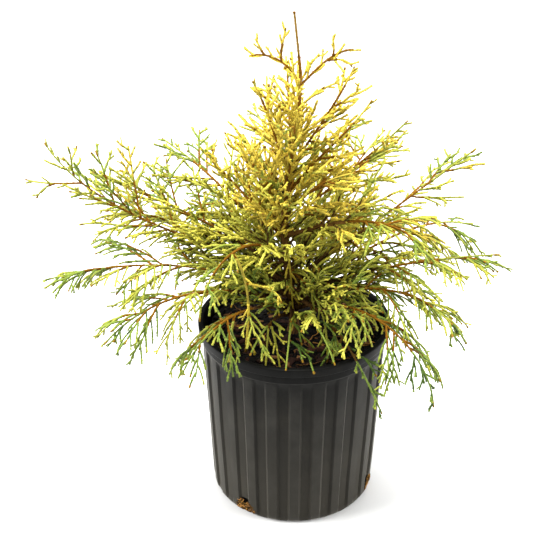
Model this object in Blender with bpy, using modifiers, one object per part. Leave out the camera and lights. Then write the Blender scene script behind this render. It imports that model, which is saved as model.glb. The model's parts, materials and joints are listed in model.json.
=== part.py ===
"""Golden threadleaf sawara cypress in its fluted nursery pot.

Metres, +Z up. The origin is the centre of the pot's underside, and -Y is the side that is seen first.
A trunk stands on the bark mix in the pot. Boughs leave it, and each carries one mass of thread-like twigs;
the short masses near the top grow straight from the trunk.
"""

import math
import random
from collections import namedtuple

import bmesh
import bpy
from mathutils import Matrix, Vector

UP = Vector((0, 0, 1))
GAP = 0.0003

# The pot
POT_HEIGHT = 0.167
RIM_RADIUS = 0.0825
LIP_HEIGHT = 0.0082
LIP_WIDTH = 0.0046
LIP_EDGE = 0.0009
NECK_HEIGHT = 0.0085
NECK_RADIUS = 0.0792
WALL_TOP_RADIUS = 0.0786
FOOT_RADIUS = 0.0708
FOOT_CORNER = 0.0078
WALL = 0.0014
FLUTES = 24
FLUTE_DEPTH = 0.0019
FLUTE_FADE = 0.0035
# where a flute's rib starts and ends and its channel starts and ends, as shares of a flute
FLUTE_SHOULDERS = (-0.215, 0.215, 0.285, 0.715)
DRAIN_HOLE_AZIMUTHS = (-37, 72, 198)
DRAIN_HOLE_RADIUS = 0.0092
DRAIN_HOLE_HEIGHT = 0.0070
DRAIN_HOLE_SLOPE = 30

# The bark mix in the pot
SOIL_LEVEL = 0.155
SOIL_SIDES = 32
SOIL_RELIEF = 0.0012
CHIPS = 11
CHIP_LENGTH = (0.009, 0.017)

# The trunk: how far it leans to +X and to +Y at each height
TRUNK_LINE = (
    (0.000, 0.000, 0.1553),
    (0.000, 0.000, 0.1600),
    (-0.001, 0.000, 0.1750),
    (-0.006, 0.001, 0.2150),
    (-0.009, 0.000, 0.2600),
    (-0.005, 0.000, 0.3100),
    (0.001, 0.000, 0.3500),
    (0.003, 0.000, 0.3880),
)
TRUNK_FOOT_RADIUS = 0.0068
TRUNK_RADIUS = 0.0046
TRUNK_TIP_RADIUS = 0.0013
FLARE_HEIGHT = 0.012
TRUNK_SIDES = 12

# Boughs and the stems, side shoots and threads of the masses: radius at the root and at the tip
BOUGH_RADII = (0.0019, 0.0014)
STEM_RADII = (0.0015, 0.0009)
SIDE_SHOOT_RADII = (0.0017, 0.0010)
THREAD_RADII = (0.0015, 0.0008)
BOUGH_SIDES, STEM_SIDES, TWIG_SIDES = 6, 4, 3
LINE_STEPS = 36
STEM_STEP = 5
SHOOT_STEPS = 6
SIDE_SHOOT_EVERY = 0.0090
THREAD_EVERY = 0.0060
SHORTEST_SHOOT = 0.008
LONG_SHOOT = 0.032
WAVER = 0.055
CLEARANCE = 0.0007

# height is where a limb leaves the trunk. pitches are its slopes at its start, middle and end, and turn is how far
# its heading swings, in degrees. bough and mass are lengths along it: with no bough, the mass grows from the trunk.
# fan is its longest side shoot, roll tilts the plane of the spray, lift turns the side shoots up or down, and fade is
# how fast they shorten towards the tip.
Limb = namedtuple("Limb", "name height azimuth pitches turn bough mass fan roll lift fade", defaults=(0.6,))
LIMBS = (
    Limb("low_left", 0.190, 188, (34, 8, -12), 2, 0.065, 0.142, 0.070, 10, -0.45),
    Limb("low_left_front", 0.184, 207, (30, 6, -44), 2, 0.058, 0.120, 0.062, 0, -0.60),
    Limb("left_front", 0.178, 228, (32, 2, -56), 0, 0.050, 0.092, 0.049, 0, -0.70),
    Limb("front_left", 0.1725, 246, (36, -6, -58), -4, 0.036, 0.072, 0.038, 0, -0.60),
    Limb("front", 0.1785, 268, (30, -10, -40), -6, 0.028, 0.056, 0.032, 0, -0.50),
    Limb("front_right", 0.173, 290, (40, -8, -58), 4, 0.034, 0.070, 0.038, 0, -0.60),
    Limb("right_front", 0.179, 316, (34, -8, -84), 2, 0.055, 0.126, 0.054, 0, -0.80),
    Limb("right_hanging", 0.188, 306, (20, -30, -50), 2, 0.044, 0.092, 0.040, 0, -0.70),
    Limb("low_right", 0.1845, 338, (28, 4, -64), -2, 0.058, 0.108, 0.057, 0, -0.60),
    Limb("right", 0.192, 354, (26, 16, 8), -4, 0.066, 0.108, 0.068, -15, -0.30),
    Limb("back_right", 0.184, 24, (30, 14, -30), 4, 0.064, 0.126, 0.068, 0, -0.60),
    Limb("back", 0.180, 70, (32, 8, -32), -8, 0.058, 0.118, 0.062, 0, -0.50),
    Limb("back_left", 0.184, 116, (30, 10, -28), 8, 0.064, 0.122, 0.065, 0, -0.50),
    Limb("left_back", 0.196, 160, (34, 14, 4), -4, 0.060, 0.125, 0.068, 10, -0.35),
    Limb("mid_left", 0.203, 174, (32, 24, 62), 4, 0.075, 0.158, 0.068, 30, 0.10),
    Limb("mid_left_rear", 0.210, 164, (38, 20, 16), -2, 0.058, 0.128, 0.057, 20, 0.10),
    Limb("mid_right", 0.206, 12, (30, 36, 36), -4, 0.070, 0.114, 0.062, -25, 0.10),
    Limb("mid_front_right", 0.248, 336, (26, 10, -52), -4, 0.058, 0.080, 0.046, 0, -0.50),
    Limb("mid_front_left", 0.224, 228, (56, -2, -90), 6, 0.034, 0.106, 0.046, 0, -0.60),
    Limb("mid_back_right", 0.214, 50, (42, 28, 10), 8, 0.054, 0.112, 0.059, 0, 0.20),
    Limb("mid_back", 0.2225, 100, (44, 28, 8), -8, 0.052, 0.108, 0.057, 0, 0.20),
    Limb("mid_back_left", 0.2165, 134, (42, 26, 14), 6, 0.058, 0.106, 0.057, 15, 0.20),
    Limb("upper_left", 0.246, 178, (52, 50, 44), -6, 0, 0.100, 0.054, 35, 0.50),
    Limb("upper_left_front", 0.262, 214, (66, 62, 56), 8, 0, 0.090, 0.049, 40, 0.60),
    Limb("upper_right", 0.256, 6, (48, 42, 48), -6, 0, 0.130, 0.054, -35, 0.40),
    Limb("upper_right_mid", 0.290, 340, (58, 50, 60), -6, 0, 0.108, 0.049, -40, 0.50),
    Limb("upper_right_front", 0.270, 318, (54, 40, 22), 6, 0, 0.084, 0.046, -30, 0.30),
    Limb("upper_back_left", 0.268, 128, (56, 46, 40), 6, 0, 0.072, 0.046, 20, 0.50),
    Limb("upper_back", 0.264, 72, (56, 46, 40), -6, 0, 0.090, 0.051, -20, 0.50),
    Limb("upper_front", 0.256, 270, (62, 46, 10), 6, 0, 0.062, 0.041, 0, 0.20),
    Limb("top_left", 0.312, 186, (68, 72, 62), 6, 0, 0.076, 0.038, 40, 0.60),
    Limb("top_right", 0.312, 10, (58, 58, 68), -6, 0, 0.092, 0.043, -40, 0.60),
    Limb("top_back", 0.322, 98, (64, 56, 60), -6, 0, 0.072, 0.038, 0, 0.60),
    Limb("leader", 0.388, 265, (88, 86, 84), 0, 0, 0.050, 0.078, 0, 0.10, 2.5),
)

BARK = ((0.30, 0.13, 0.05), 0.85)
GOLDEN_FOLIAGE = ((0.55, 0.48, 0.07), 0.6)
GREEN_FOLIAGE = ((0.20, 0.28, 0.05), 0.6)
BLACK_PLASTIC = ((0.028, 0.028, 0.027), 0.5)
BARK_MIX = ((0.05, 0.025, 0.012), 0.95)


def clear_scene():
    for old in list(bpy.data.objects):
        bpy.data.objects.remove(old)


def new_collection(name):
    made = bpy.data.collections.new(name)
    bpy.context.scene.collection.children.link(made)
    return made


def material(name, finish):
    colour, roughness = finish
    made = bpy.data.materials.new(name)
    made.use_nodes = True
    shader = made.node_tree.nodes["Principled BSDF"]
    shader.inputs["Base Color"].default_value = (*colour, 1)
    shader.inputs["Roughness"].default_value = roughness
    shader.inputs["Metallic"].default_value = 0
    return made


def add_object(name, mesh, collection, finish=None):
    made = bpy.data.objects.new(name, mesh)
    if finish:
        mesh.materials.clear()
        mesh.materials.append(finish)
    collection.objects.link(made)
    return made


def evaluated_mesh(obj):
    """The object's mesh with its modifiers applied, as a new mesh."""
    bpy.context.view_layer.update()
    graph = bpy.context.evaluated_depsgraph_get()
    return bpy.data.meshes.new_from_object(obj.evaluated_get(graph))


def turned(name, profile, steps, collection):
    """A solid turned about Z from (radius, height) points that run up its inside and down its outside."""
    mesh = bpy.data.meshes.new(name)
    points = [(radius, 0, height) for radius, height in profile]
    mesh.from_pydata(points, [(k, k + 1) for k in range(len(points) - 1)], [])
    made = add_object(name, mesh, collection)
    screw = made.modifiers.new("turn", "SCREW")
    screw.steps = screw.render_steps = steps
    screw.use_merge_vertices = True
    screw.merge_threshold = 0.00001
    made.data = evaluated_mesh(made)
    made.modifiers.clear()
    return made


def combine(obj, others, operation, solver="EXACT"):
    """Joins others to obj, or cuts them from it, and removes them."""
    tools = new_collection(obj.name + "_tools")
    for other in others:
        for owner in list(other.users_collection):
            owner.objects.unlink(other)
        tools.objects.link(other)
        other.hide_render = True
        other.display_type = "WIRE"
    boolean = obj.modifiers.new("combine", "BOOLEAN")
    boolean.operation = operation
    boolean.operand_type = "COLLECTION"
    boolean.collection = tools
    boolean.solver = solver
    obj.data = evaluated_mesh(obj)
    obj.modifiers.clear()
    for other in others:
        bpy.data.objects.remove(other)
    bpy.data.collections.remove(tools)


def cone_radius(height):
    """Outer radius of the pot's straight wall at a height."""
    top = POT_HEIGHT - LIP_HEIGHT - NECK_HEIGHT
    share = (height - FOOT_CORNER) / (top - FOOT_CORNER)
    return FOOT_RADIUS + (WALL_TOP_RADIUS - FOOT_RADIUS) * share


def inner_radius(height):
    return cone_radius(height) - FLUTE_DEPTH - WALL


def make_pot(collection, finish):
    neck_foot = POT_HEIGHT - LIP_HEIGHT - NECK_HEIGHT
    mouth_radius = RIM_RADIUS - LIP_WIDTH
    outside = [
        (mouth_radius + LIP_EDGE, POT_HEIGHT),
        (RIM_RADIUS - LIP_EDGE, POT_HEIGHT),
        (RIM_RADIUS, POT_HEIGHT - LIP_EDGE),
        (RIM_RADIUS, POT_HEIGHT - LIP_HEIGHT),
        (NECK_RADIUS, POT_HEIGHT - LIP_HEIGHT - LIP_EDGE),
    ]
    for height in (neck_foot, neck_foot - FLUTE_FADE, FOOT_CORNER + 2 * FLUTE_FADE, FOOT_CORNER + FLUTE_FADE):
        outside.append((cone_radius(height), height))
    for degrees in (0, 45, 90):
        turn = math.radians(degrees)
        outside.append(
            (FOOT_RADIUS - FOOT_CORNER * (1 - math.cos(turn)), FOOT_CORNER * (1 - math.sin(turn)))
        )
    outside.append((0, 0))
    inside = [
        (0, WALL),
        (FOOT_RADIUS - FOOT_CORNER - WALL, WALL),
        (inner_radius(FOOT_CORNER), FOOT_CORNER),
        (inner_radius(neck_foot), neck_foot),
        (mouth_radius, POT_HEIGHT - 2 * LIP_EDGE),
    ]
    corners = len(FLUTE_SHOULDERS)
    pot = turned("pot", inside + outside, FLUTES * corners, collection)
    fluted = (FOOT_CORNER + 1.5 * FLUTE_FADE, neck_foot - 0.5 * FLUTE_FADE)
    front = -math.pi / 2
    for vertex in pot.data.vertices:
        radius = math.hypot(vertex.co.x, vertex.co.y)
        if radius < GAP:
            continue
        column = round((math.atan2(vertex.co.y, vertex.co.x) - front) / math.tau * FLUTES * corners)
        flute, corner = divmod(column, corners)
        angle = front + math.tau * (flute + FLUTE_SHOULDERS[corner]) / FLUTES
        outer = radius > inner_radius(vertex.co.z) + WALL
        if outer and corner >= 2 and fluted[0] < vertex.co.z < fluted[1]:
            radius -= FLUTE_DEPTH
        vertex.co.x, vertex.co.y = radius * math.cos(angle), radius * math.sin(angle)
    cutters = [drain_cutter(azimuth) for azimuth in DRAIN_HOLE_AZIMUTHS]
    for cutter in cutters:
        collection.objects.link(cutter)
    combine(pot, cutters, "DIFFERENCE")
    pot.data.materials.clear()
    pot.data.materials.append(finish)
    return pot


def drain_cutter(degrees):
    """A peg that points out and down through the pot's bottom corner, this far round from the front."""
    azimuth = math.radians(degrees) - math.pi / 2
    shape = bmesh.new()
    bmesh.ops.create_cone(
        shape, cap_ends=True, segments=12, radius1=DRAIN_HOLE_RADIUS, radius2=DRAIN_HOLE_RADIUS, depth=0.03
    )
    tip = Matrix.Rotation(math.radians(90 + DRAIN_HOLE_SLOPE), 4, "Y")
    centre = Matrix.Translation((FOOT_RADIUS - 0.002, 0, DRAIN_HOLE_HEIGHT))
    shape.transform(Matrix.Rotation(azimuth, 4, "Z") @ centre @ tip)
    mesh = bpy.data.meshes.new("drain_cutter")
    shape.to_mesh(mesh)
    shape.free()
    return bpy.data.objects.new("drain_cutter", mesh)


def make_root_ball(collection, finish):
    neck_foot = POT_HEIGHT - LIP_HEIGHT - NECK_HEIGHT
    room = 0.0004
    floor_radius = FOOT_RADIUS - FOOT_CORNER - WALL - room
    edge = inner_radius(neck_foot) - room
    flat = 0.012
    profile = [
        (0, SOIL_LEVEL),
        (flat, SOIL_LEVEL),
        (edge * 0.45, SOIL_LEVEL),
        (edge * 0.78, SOIL_LEVEL),
        (edge, SOIL_LEVEL - 0.002),
        (edge, neck_foot),
        (inner_radius(FOOT_CORNER) - room, FOOT_CORNER + room),
        (floor_radius, WALL + GAP),
        (0, WALL + GAP),
    ]
    ball = turned("root_ball", profile, SOIL_SIDES, collection)
    draw = random.Random("bark mix")
    for vertex in ball.data.vertices:
        radius = math.hypot(vertex.co.x, vertex.co.y)
        if flat + 0.001 < radius < edge - 0.001 and vertex.co.z > neck_foot:
            vertex.co.z += draw.uniform(-SOIL_RELIEF, SOIL_RELIEF)
    chips = [bark_chip(k, draw, edge) for k in range(CHIPS)]
    for chip in chips:
        collection.objects.link(chip)
    combine(ball, chips, "UNION", "MANIFOLD")
    ball.data.materials.clear()
    ball.data.materials.append(finish)
    return ball


def bark_chip(k, draw, edge):
    """A flake of bark, half sunk in the mix and tilted."""
    azimuth = math.radians(262 + 137.5 * k)
    distance = 0.024 + (edge - 0.036) * math.sqrt((k + 0.5) / CHIPS)
    length = draw.uniform(*CHIP_LENGTH)
    shape = bmesh.new()
    bmesh.ops.create_cube(shape, size=1)
    for vertex in shape.verts:
        vertex.co *= draw.uniform(0.75, 1.1)
    bmesh.ops.scale(shape, vec=(length, length * 0.55, 0.0034), verts=shape.verts)
    place = Matrix.Translation((distance * math.cos(azimuth), distance * math.sin(azimuth), SOIL_LEVEL + 0.0004))
    tilt = Matrix.Rotation(math.radians(draw.uniform(-9, 9)), 4, "X")
    shape.transform(place @ Matrix.Rotation(draw.uniform(0, math.pi), 4, "Z") @ tilt)
    mesh = bpy.data.meshes.new("bark_chip")
    shape.to_mesh(mesh)
    shape.free()
    return bpy.data.objects.new("bark_chip", mesh)


def trunk_at(height):
    """The trunk's centre at a height."""
    for low, high in zip(TRUNK_LINE, TRUNK_LINE[1:]):
        if height <= high[2]:
            return Vector(low).lerp(Vector(high), (height - low[2]) / (high[2] - low[2]))
    return Vector(TRUNK_LINE[-1])


def trunk_radius(height):
    foot, tip = TRUNK_LINE[0][2], TRUNK_LINE[-1][2]
    taper = TRUNK_RADIUS + (TRUNK_TIP_RADIUS - TRUNK_RADIUS) * ((height - foot) / (tip - foot)) ** 0.8
    flare = max(0, 1 - (height - foot) / FLARE_HEIGHT) ** 2
    return taper + (TRUNK_FOOT_RADIUS - TRUNK_RADIUS) * flare


def tapered(name, points, radii, sides, seed=0):
    """A closed tapering limb along points: a capped ring that is extruded from point to point."""
    shape = bmesh.new()
    bmesh.ops.create_circle(shape, cap_ends=True, radius=1, segments=sides)
    cap = list(shape.faces)[0]
    unit = [vertex.co.copy() for vertex in cap.verts]
    for k, (point, radius) in enumerate(zip(points, radii)):
        if k:
            last = cap
            made = bmesh.ops.extrude_face_region(shape, geom=[last])
            cap = next(item for item in made["geom"] if isinstance(item, bmesh.types.BMFace))
            if k > 1:
                shape.faces.remove(last)
        ahead = (points[min(k + 1, len(points) - 1)] - points[max(k - 1, 0)]).normalized()
        if k == 0:
            back = UP if abs(ahead.z) < 0.97 else Vector((0, -1, 0))
        back = (back - ahead * back.dot(ahead)).normalized()
        turn = Matrix((back.cross(ahead), back, ahead)).transposed() @ Matrix.Rotation(seed, 3, "Z")
        for vertex, corner in zip(cap.verts, unit):
            vertex.co = point + turn @ (corner * radius)
    bmesh.ops.recalc_face_normals(shape, faces=shape.faces)
    mesh = bpy.data.meshes.new(name)
    shape.to_mesh(mesh)
    shape.free()
    return mesh


def spread(radii, count):
    """count radii that run evenly from the first to the second."""
    return [radii[0] + (radii[1] - radii[0]) * k / (count - 1) for k in range(count)]


def limb_line(limb):
    """The limb's centreline, from the trunk's skin to the tip of its mass, and its length before each point."""
    centre = trunk_at(limb.height)
    on_tip = limb.height >= TRUNK_LINE[-1][2]
    start, middle, end = limb.pitches
    length = limb.bough + limb.mass
    step = length / LINE_STEPS
    root_radius = BOUGH_RADII[0] if limb.bough else STEM_RADII[0]
    out = trunk_radius(limb.height) + GAP + root_radius * math.sin(math.radians(start))
    heading = Vector((math.cos(math.radians(limb.azimuth)), math.sin(math.radians(limb.azimuth)), 0))
    points = [centre + UP * 2 * GAP if on_tip else centre + heading * out]
    for k in range(LINE_STEPS):
        share = (k + 0.5) / LINE_STEPS
        pitch = start * (1 - share) * (1 - 2 * share) + 4 * middle * share * (1 - share)
        pitch = math.radians(pitch + end * share * (2 * share - 1))
        azimuth = math.radians(limb.azimuth + limb.turn * share)
        flat = math.cos(pitch)
        points.append(points[-1] + Vector((math.cos(azimuth) * flat, math.sin(azimuth) * flat, math.sin(pitch))) * step)
    return points


def bough_end(limb):
    """The index on the limb's line where its bough ends."""
    return round(LINE_STEPS * limb.bough / (limb.bough + limb.mass))


def shoot(root, heading, length, lift, seed):
    """A side shoot's points: it leaves root along heading, turns towards the sky by lift, and wavers a little."""
    draw = random.Random(seed)
    points, direction = [root], heading.normalized()
    for _ in range(SHOOT_STEPS):
        waver = Vector([draw.uniform(-WAVER, WAVER) for _ in range(3)])
        direction = (direction + UP * (lift / SHOOT_STEPS) + waver).normalized()
        points.append(points[-1] + direction * (length / SHOOT_STEPS))
    return points


def side_shoots(limb, line):
    """(number, share along the mass, points) of each side shoot of a mass, from the root of its stem to its tip."""
    first = bough_end(limb)
    count = max(4, round(limb.mass / SIDE_SHOOT_EVERY))
    for k in range(count):
        draw = random.Random(f"{limb.name} {k}")
        share = (k + 0.5) / count
        place = first + share * (LINE_STEPS - first)
        low = min(int(place), LINE_STEPS - 1)
        root = line[low].lerp(line[low + 1], place - low)
        ahead = (line[low + 1] - line[low]).normalized()
        azimuth = math.radians(limb.azimuth + limb.turn * share)
        across = Vector((-math.sin(azimuth), math.cos(azimuth), 0))
        side = (1 if k % 2 == 0 else -1) * (-1) ** (k // 2)
        tilt = math.radians(limb.roll * side + draw.uniform(-38, 38))
        outward = Matrix.Rotation(tilt, 3, ahead) @ (across * side)
        opening = math.radians(52 - 16 * share + draw.uniform(-9, 9))
        heading = ahead * math.cos(opening) + outward * math.sin(opening)
        envelope = min(1, 0.55 + 1.8 * share) * (1 - share) ** limb.fade
        length = max(SHORTEST_SHOOT, limb.fan * envelope * draw.uniform(0.75, 1.15))
        yield k, share, shoot(root, heading, length, limb.lift * length / 0.04, f"{limb.name} {k} path")


def threads(limb, k, side_shoot):
    """(number, points) of the threads that leave a side shoot on alternate sides."""
    length = (side_shoot[-1] - side_shoot[0]).length
    count = int(length / THREAD_EVERY)
    for m in range(count):
        draw = random.Random(f"{limb.name} {k} {m}")
        share = (m + 0.8) / (count + 0.4)
        place = share * SHOOT_STEPS
        low = min(int(place), SHOOT_STEPS - 1)
        root = side_shoot[low].lerp(side_shoot[low + 1], place - low)
        ahead = (side_shoot[low + 1] - side_shoot[low]).normalized()
        level = ahead.cross(UP)
        if level.length < 0.1:
            level = ahead.cross(Vector((1, 0, 0)))
        tilt = math.radians(limb.roll * 0.5 + draw.uniform(-45, 45))
        outward = Matrix.Rotation(tilt, 3, ahead) @ level.normalized() * (1 if m % 2 else -1)
        opening = math.radians(draw.uniform(36, 56))
        heading = ahead * math.cos(opening) + outward * math.sin(opening)
        reach = draw.uniform(0.010, 0.020) * (1.15 - 0.5 * share)
        yield m, shoot(root, heading, reach, limb.lift * 0.35, f"{limb.name} {k} {m} path")


def distance_to(point, line, radii=(0, 0)):
    """How far a point is from the skin of a line of points that tapers evenly from the first radius to the second."""
    nearest = math.inf
    for k, (a, b) in enumerate(zip(line, line[1:])):
        along = b - a
        share = max(0.0, min(1.0, (point - a).dot(along) / along.length_squared))
        skin = radii[0] + (radii[1] - radii[0]) * (k + share) / (len(line) - 1)
        nearest = min(nearest, (point - a - along * share).length - skin)
    return nearest


def hits_pot(point, radius):
    """Whether a twig there would touch the pot or the bark mix."""
    room = radius + 0.0012
    away = math.hypot(point.x, point.y)
    if away < inner_radius(POT_HEIGHT - LIP_HEIGHT) - room:
        return point.z < SOIL_LEVEL + 0.0022 + room
    if away < RIM_RADIUS + room:
        return point.z < POT_HEIGHT + room
    return False


def is_free(points, radius, limb, woods, stems):
    """Whether a twig keeps to its mass's own space, clear of the pot, the trunk and the boughs."""
    for point in points[1:]:
        if hits_pot(point, radius):
            return False
        for wood, wood_radii in woods:
            if distance_to(point, wood, wood_radii) < radius + CLEARANCE:
                return False
        own = distance_to(point, stems[limb.name])
        room = own + 2 * radius + CLEARANCE
        for name, stem in stems.items():
            if name != limb.name and (stem[0] - point).length < room + 0.16 and distance_to(point, stem) < room:
                return False
    return True


def shortened(points, share):
    """The first part of a shoot, with the same number of points."""
    kept = []
    for k in range(len(points)):
        place = k * share
        low = min(int(place), len(points) - 2)
        kept.append(points[low].lerp(points[low + 1], place - low))
    return kept


def along(corners):
    """The points of a shoot that runs straight between its corners."""
    pieces = len(corners) - 1
    points = []
    for k in range(SHOOT_STEPS):
        piece, step = divmod(k * pieces, SHOOT_STEPS)
        points.append(corners[piece].lerp(corners[piece + 1], step / SHOOT_STEPS))
    return points + [corners[-1]]


def make_mass(limb, line, woods, stems, collection, finish):
    stem_points = stems[limb.name]
    stem_radii = spread(STEM_RADII, len(stem_points))
    mass = add_object(
        "foliage_" + limb.name, tapered("stem", stem_points, stem_radii, STEM_SIDES), collection
    )
    twigs = []

    def add(points, radii):
        mesh = tapered("twig", points, spread(radii, len(points)), TWIG_SIDES, len(twigs))
        twigs.append(add_object("twig", mesh, collection))

    for k, share, points in side_shoots(limb, line):
        if k % 2:
            continue
        for part in (1.0, 0.75, 0.5):
            path = shortened(points, part)
            if is_free(path, SIDE_SHOOT_RADII[0], limb, woods, stems):
                break
        else:
            continue
        corners = path[::3] if (path[-1] - path[0]).length > LONG_SHOOT else path[::SHOOT_STEPS]
        add(corners, SIDE_SHOOT_RADII)
        for m, thread in threads(limb, k, along(corners)):
            if m % 4 == 1 and is_free(thread, THREAD_RADII[0], limb, woods, stems):
                add(thread[::SHOOT_STEPS], THREAD_RADII)
    combine(mass, twigs, "UNION", "MANIFOLD")
    mass.data.materials.clear()
    mass.data.materials.append(finish)
    return mass


def main():
    clear_scene()
    plant = new_collection("sawara_cypress")
    bark = material("bark", BARK)
    golden = material("golden_foliage", GOLDEN_FOLIAGE)
    green = material("green_foliage", GREEN_FOLIAGE)
    make_pot(plant, material("black_plastic", BLACK_PLASTIC))
    make_root_ball(plant, material("bark_mix", BARK_MIX))

    heights = [low[2] + (high[2] - low[2]) * k / 2 for low, high in zip(TRUNK_LINE, TRUNK_LINE[1:]) for k in (0, 1)]
    heights.append(TRUNK_LINE[-1][2])
    trunk_points = [trunk_at(height) for height in heights]
    trunk_radii = [trunk_radius(height) for height in heights]
    add_object("trunk", tapered("trunk", trunk_points, trunk_radii, TRUNK_SIDES), plant, bark)

    woods = [(trunk_points, (TRUNK_FOOT_RADIUS, TRUNK_TIP_RADIUS))]
    lines, stems = {}, {}
    for limb in LIMBS:
        line = limb_line(limb)
        end = bough_end(limb)
        lines[limb.name] = line
        stem = line[end::STEM_STEP]
        if stem[-1] != line[-1]:
            stem.append(line[-1])
        if limb.bough:
            bough = line[0:end:STEM_STEP] + [line[end]]
            mesh = tapered("bough", bough, spread(BOUGH_RADII, len(bough)), BOUGH_SIDES)
            add_object("bough_" + limb.name, mesh, plant, bark)
            woods.append((bough, BOUGH_RADII))
            ahead = (stem[1] - stem[0]).normalized()
            stem[0] = stem[0] + ahead * GAP
        stems[limb.name] = stem
    for limb in LIMBS:
        finish = green if limb.lift < -0.4 else golden
        make_mass(limb, lines[limb.name], woods, stems, plant, finish)


main()
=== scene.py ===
"""Looks of a golden threadleaf sawara cypress in its fluted nursery pot.

Metres, +Z up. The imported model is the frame: the pot stands on its underside at the origin.
"""

import json
import math
import random
from collections import namedtuple

import bmesh
import bpy
import numpy as np
from mathutils import Matrix, Vector, noise

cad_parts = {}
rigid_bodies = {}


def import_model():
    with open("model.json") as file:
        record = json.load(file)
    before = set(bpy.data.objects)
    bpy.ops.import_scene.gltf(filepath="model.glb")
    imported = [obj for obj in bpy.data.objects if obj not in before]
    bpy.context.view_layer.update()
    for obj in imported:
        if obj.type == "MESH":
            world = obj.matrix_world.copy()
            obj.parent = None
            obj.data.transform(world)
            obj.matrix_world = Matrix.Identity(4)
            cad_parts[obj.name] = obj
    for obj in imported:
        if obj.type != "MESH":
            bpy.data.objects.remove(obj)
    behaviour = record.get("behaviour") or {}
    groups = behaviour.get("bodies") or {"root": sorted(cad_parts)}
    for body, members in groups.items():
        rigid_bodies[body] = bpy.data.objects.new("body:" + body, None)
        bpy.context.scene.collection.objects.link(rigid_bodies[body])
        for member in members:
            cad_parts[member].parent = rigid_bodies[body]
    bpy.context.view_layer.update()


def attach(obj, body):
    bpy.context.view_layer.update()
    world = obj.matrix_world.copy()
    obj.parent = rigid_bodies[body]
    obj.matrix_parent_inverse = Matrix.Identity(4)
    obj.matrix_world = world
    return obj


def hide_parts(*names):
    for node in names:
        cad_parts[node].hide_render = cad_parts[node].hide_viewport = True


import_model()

# The studio
# A white paper sweep under even white light, as for a catalogue photograph: two large softboxes stand to the
# left and right of the camera and one hangs over the plant, so that the pot's shadow is faint.
SCENE = bpy.context.scene
FRAME_PIXELS = 533
FOCAL_PIXELS = 1311
SENSOR_WIDTH = 36.0
CAMERA_PLACE = Vector((-0.0237, -0.9658, 0.7436))
CAMERA_TARGET = Vector((-0.0237, 0, 0.217))
FLOOR_SIZE = 12.0
PAPER = "#d6d6d5"
PAPER_FIBRE = 0.0015
WORLD_WHITE = "#ffffff"
WORLD_STRENGTH = 0.48
SOFTBOX_TARGET = Vector((0, 0, 0.2))
# where each softbox stands, its side in metres, and its power in watts
SOFTBOXES = (
    ("left_softbox", (-1.5, -0.30, 0.70), 0.9, 64.0),
    ("right_softbox", (1.5, -0.30, 0.60), 0.9, 44.0),
    ("top_softbox", (0.0, 0.30, 1.7), 1.2, 76.0),
)


def linear(colour):
    """An sRGB hex colour as linear red, green, blue and alpha."""
    made = []
    for k in (1, 3, 5):
        level = int(colour[k:k + 2], 16) / 255
        made.append(level / 12.92 if level <= 0.04045 else ((level + 0.055) / 1.055) ** 2.4)
    return (*made, 1.0)


def add_node(tree, kind, values=None, links=None, **settings):
    """Adds a node to a material, with its settings, the values of its sockets and the links into them."""
    made = tree.nodes.new(kind)
    for name, setting in settings.items():
        setattr(made, name, setting)
    for name, value in (values or {}).items():
        made.inputs[name].default_value = value
    for name, source in (links or {}).items():
        tree.links.new(source, made.inputs[name])
    return made


def start_material(name, colour, **values):
    """A material with a Principled shader whose sockets hold these values."""
    made = bpy.data.materials.new(name)
    made.use_nodes = True
    shader = made.node_tree.nodes["Principled BSDF"]
    shader.inputs["Base Color"].default_value = linear(colour)
    for socket, value in values.items():
        shader.inputs[socket.replace("_", " ")].default_value = value
    return made, made.node_tree, shader


def add_piece(name, mesh, material=None):
    """An object for a mesh, in the row frame."""
    made = bpy.data.objects.new(name, mesh)
    if material:
        mesh.materials.append(material)
    SCENE.collection.objects.link(made)
    return made


def mesh_of(name, points, faces, smooth=True):
    """A mesh from arrays: points by three, and faces that all have the same number of corners."""
    points, faces = np.asarray(points, np.float32), np.asarray(faces, np.int32)
    corners = faces.shape[1]
    mesh = bpy.data.meshes.new(name)
    mesh.vertices.add(len(points))
    mesh.vertices.foreach_set("co", points.ravel())
    mesh.loops.add(faces.size)
    mesh.loops.foreach_set("vertex_index", faces.ravel())
    mesh.polygons.add(len(faces))
    mesh.polygons.foreach_set("loop_start", np.arange(0, faces.size, corners, dtype=np.int32))
    mesh.update(calc_edges=True)
    if smooth:
        mesh.shade_smooth()
    return mesh


# White background paper, rolled and matt: it only has to stay plain and pale under the pot. Its fibres are drawn
# coarser than they are, so that they show at all.
paper, paper_tree, paper_shader = start_material("paper_sweep", PAPER, Roughness=0.95)
fibre = add_node(paper_tree, "ShaderNodeTexNoise", {"Scale": 1 / PAPER_FIBRE, "Detail": 2.0})
paper_bump = add_node(
    paper_tree, "ShaderNodeBump", {"Strength": 0.05, "Distance": 0.0002}, {"Height": fibre.outputs["Fac"]}
)
paper_tree.links.new(paper_bump.outputs["Normal"], paper_shader.inputs["Normal"])
half = FLOOR_SIZE / 2
floor_corners = [(-half, -half, 0), (half, -half, 0), (half, half, 0), (-half, half, 0)]
floor = add_piece("paper_floor", mesh_of("paper_floor", floor_corners, [(0, 1, 2, 3)], smooth=False), paper)

world = bpy.data.worlds.new("white_studio")
world.use_nodes = True
world.node_tree.nodes["Background"].inputs["Color"].default_value = linear(WORLD_WHITE)
world.node_tree.nodes["Background"].inputs["Strength"].default_value = WORLD_STRENGTH
SCENE.world = world
for light_name, place, side, power in SOFTBOXES:
    light = bpy.data.lights.new(light_name, "AREA")
    light.size = side
    light.energy = power
    lamp = bpy.data.objects.new(light_name, light)
    lamp.location = place
    lamp.rotation_euler = (SOFTBOX_TARGET - Vector(place)).to_track_quat("-Z", "Y").to_euler()
    SCENE.collection.objects.link(lamp)

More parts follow.
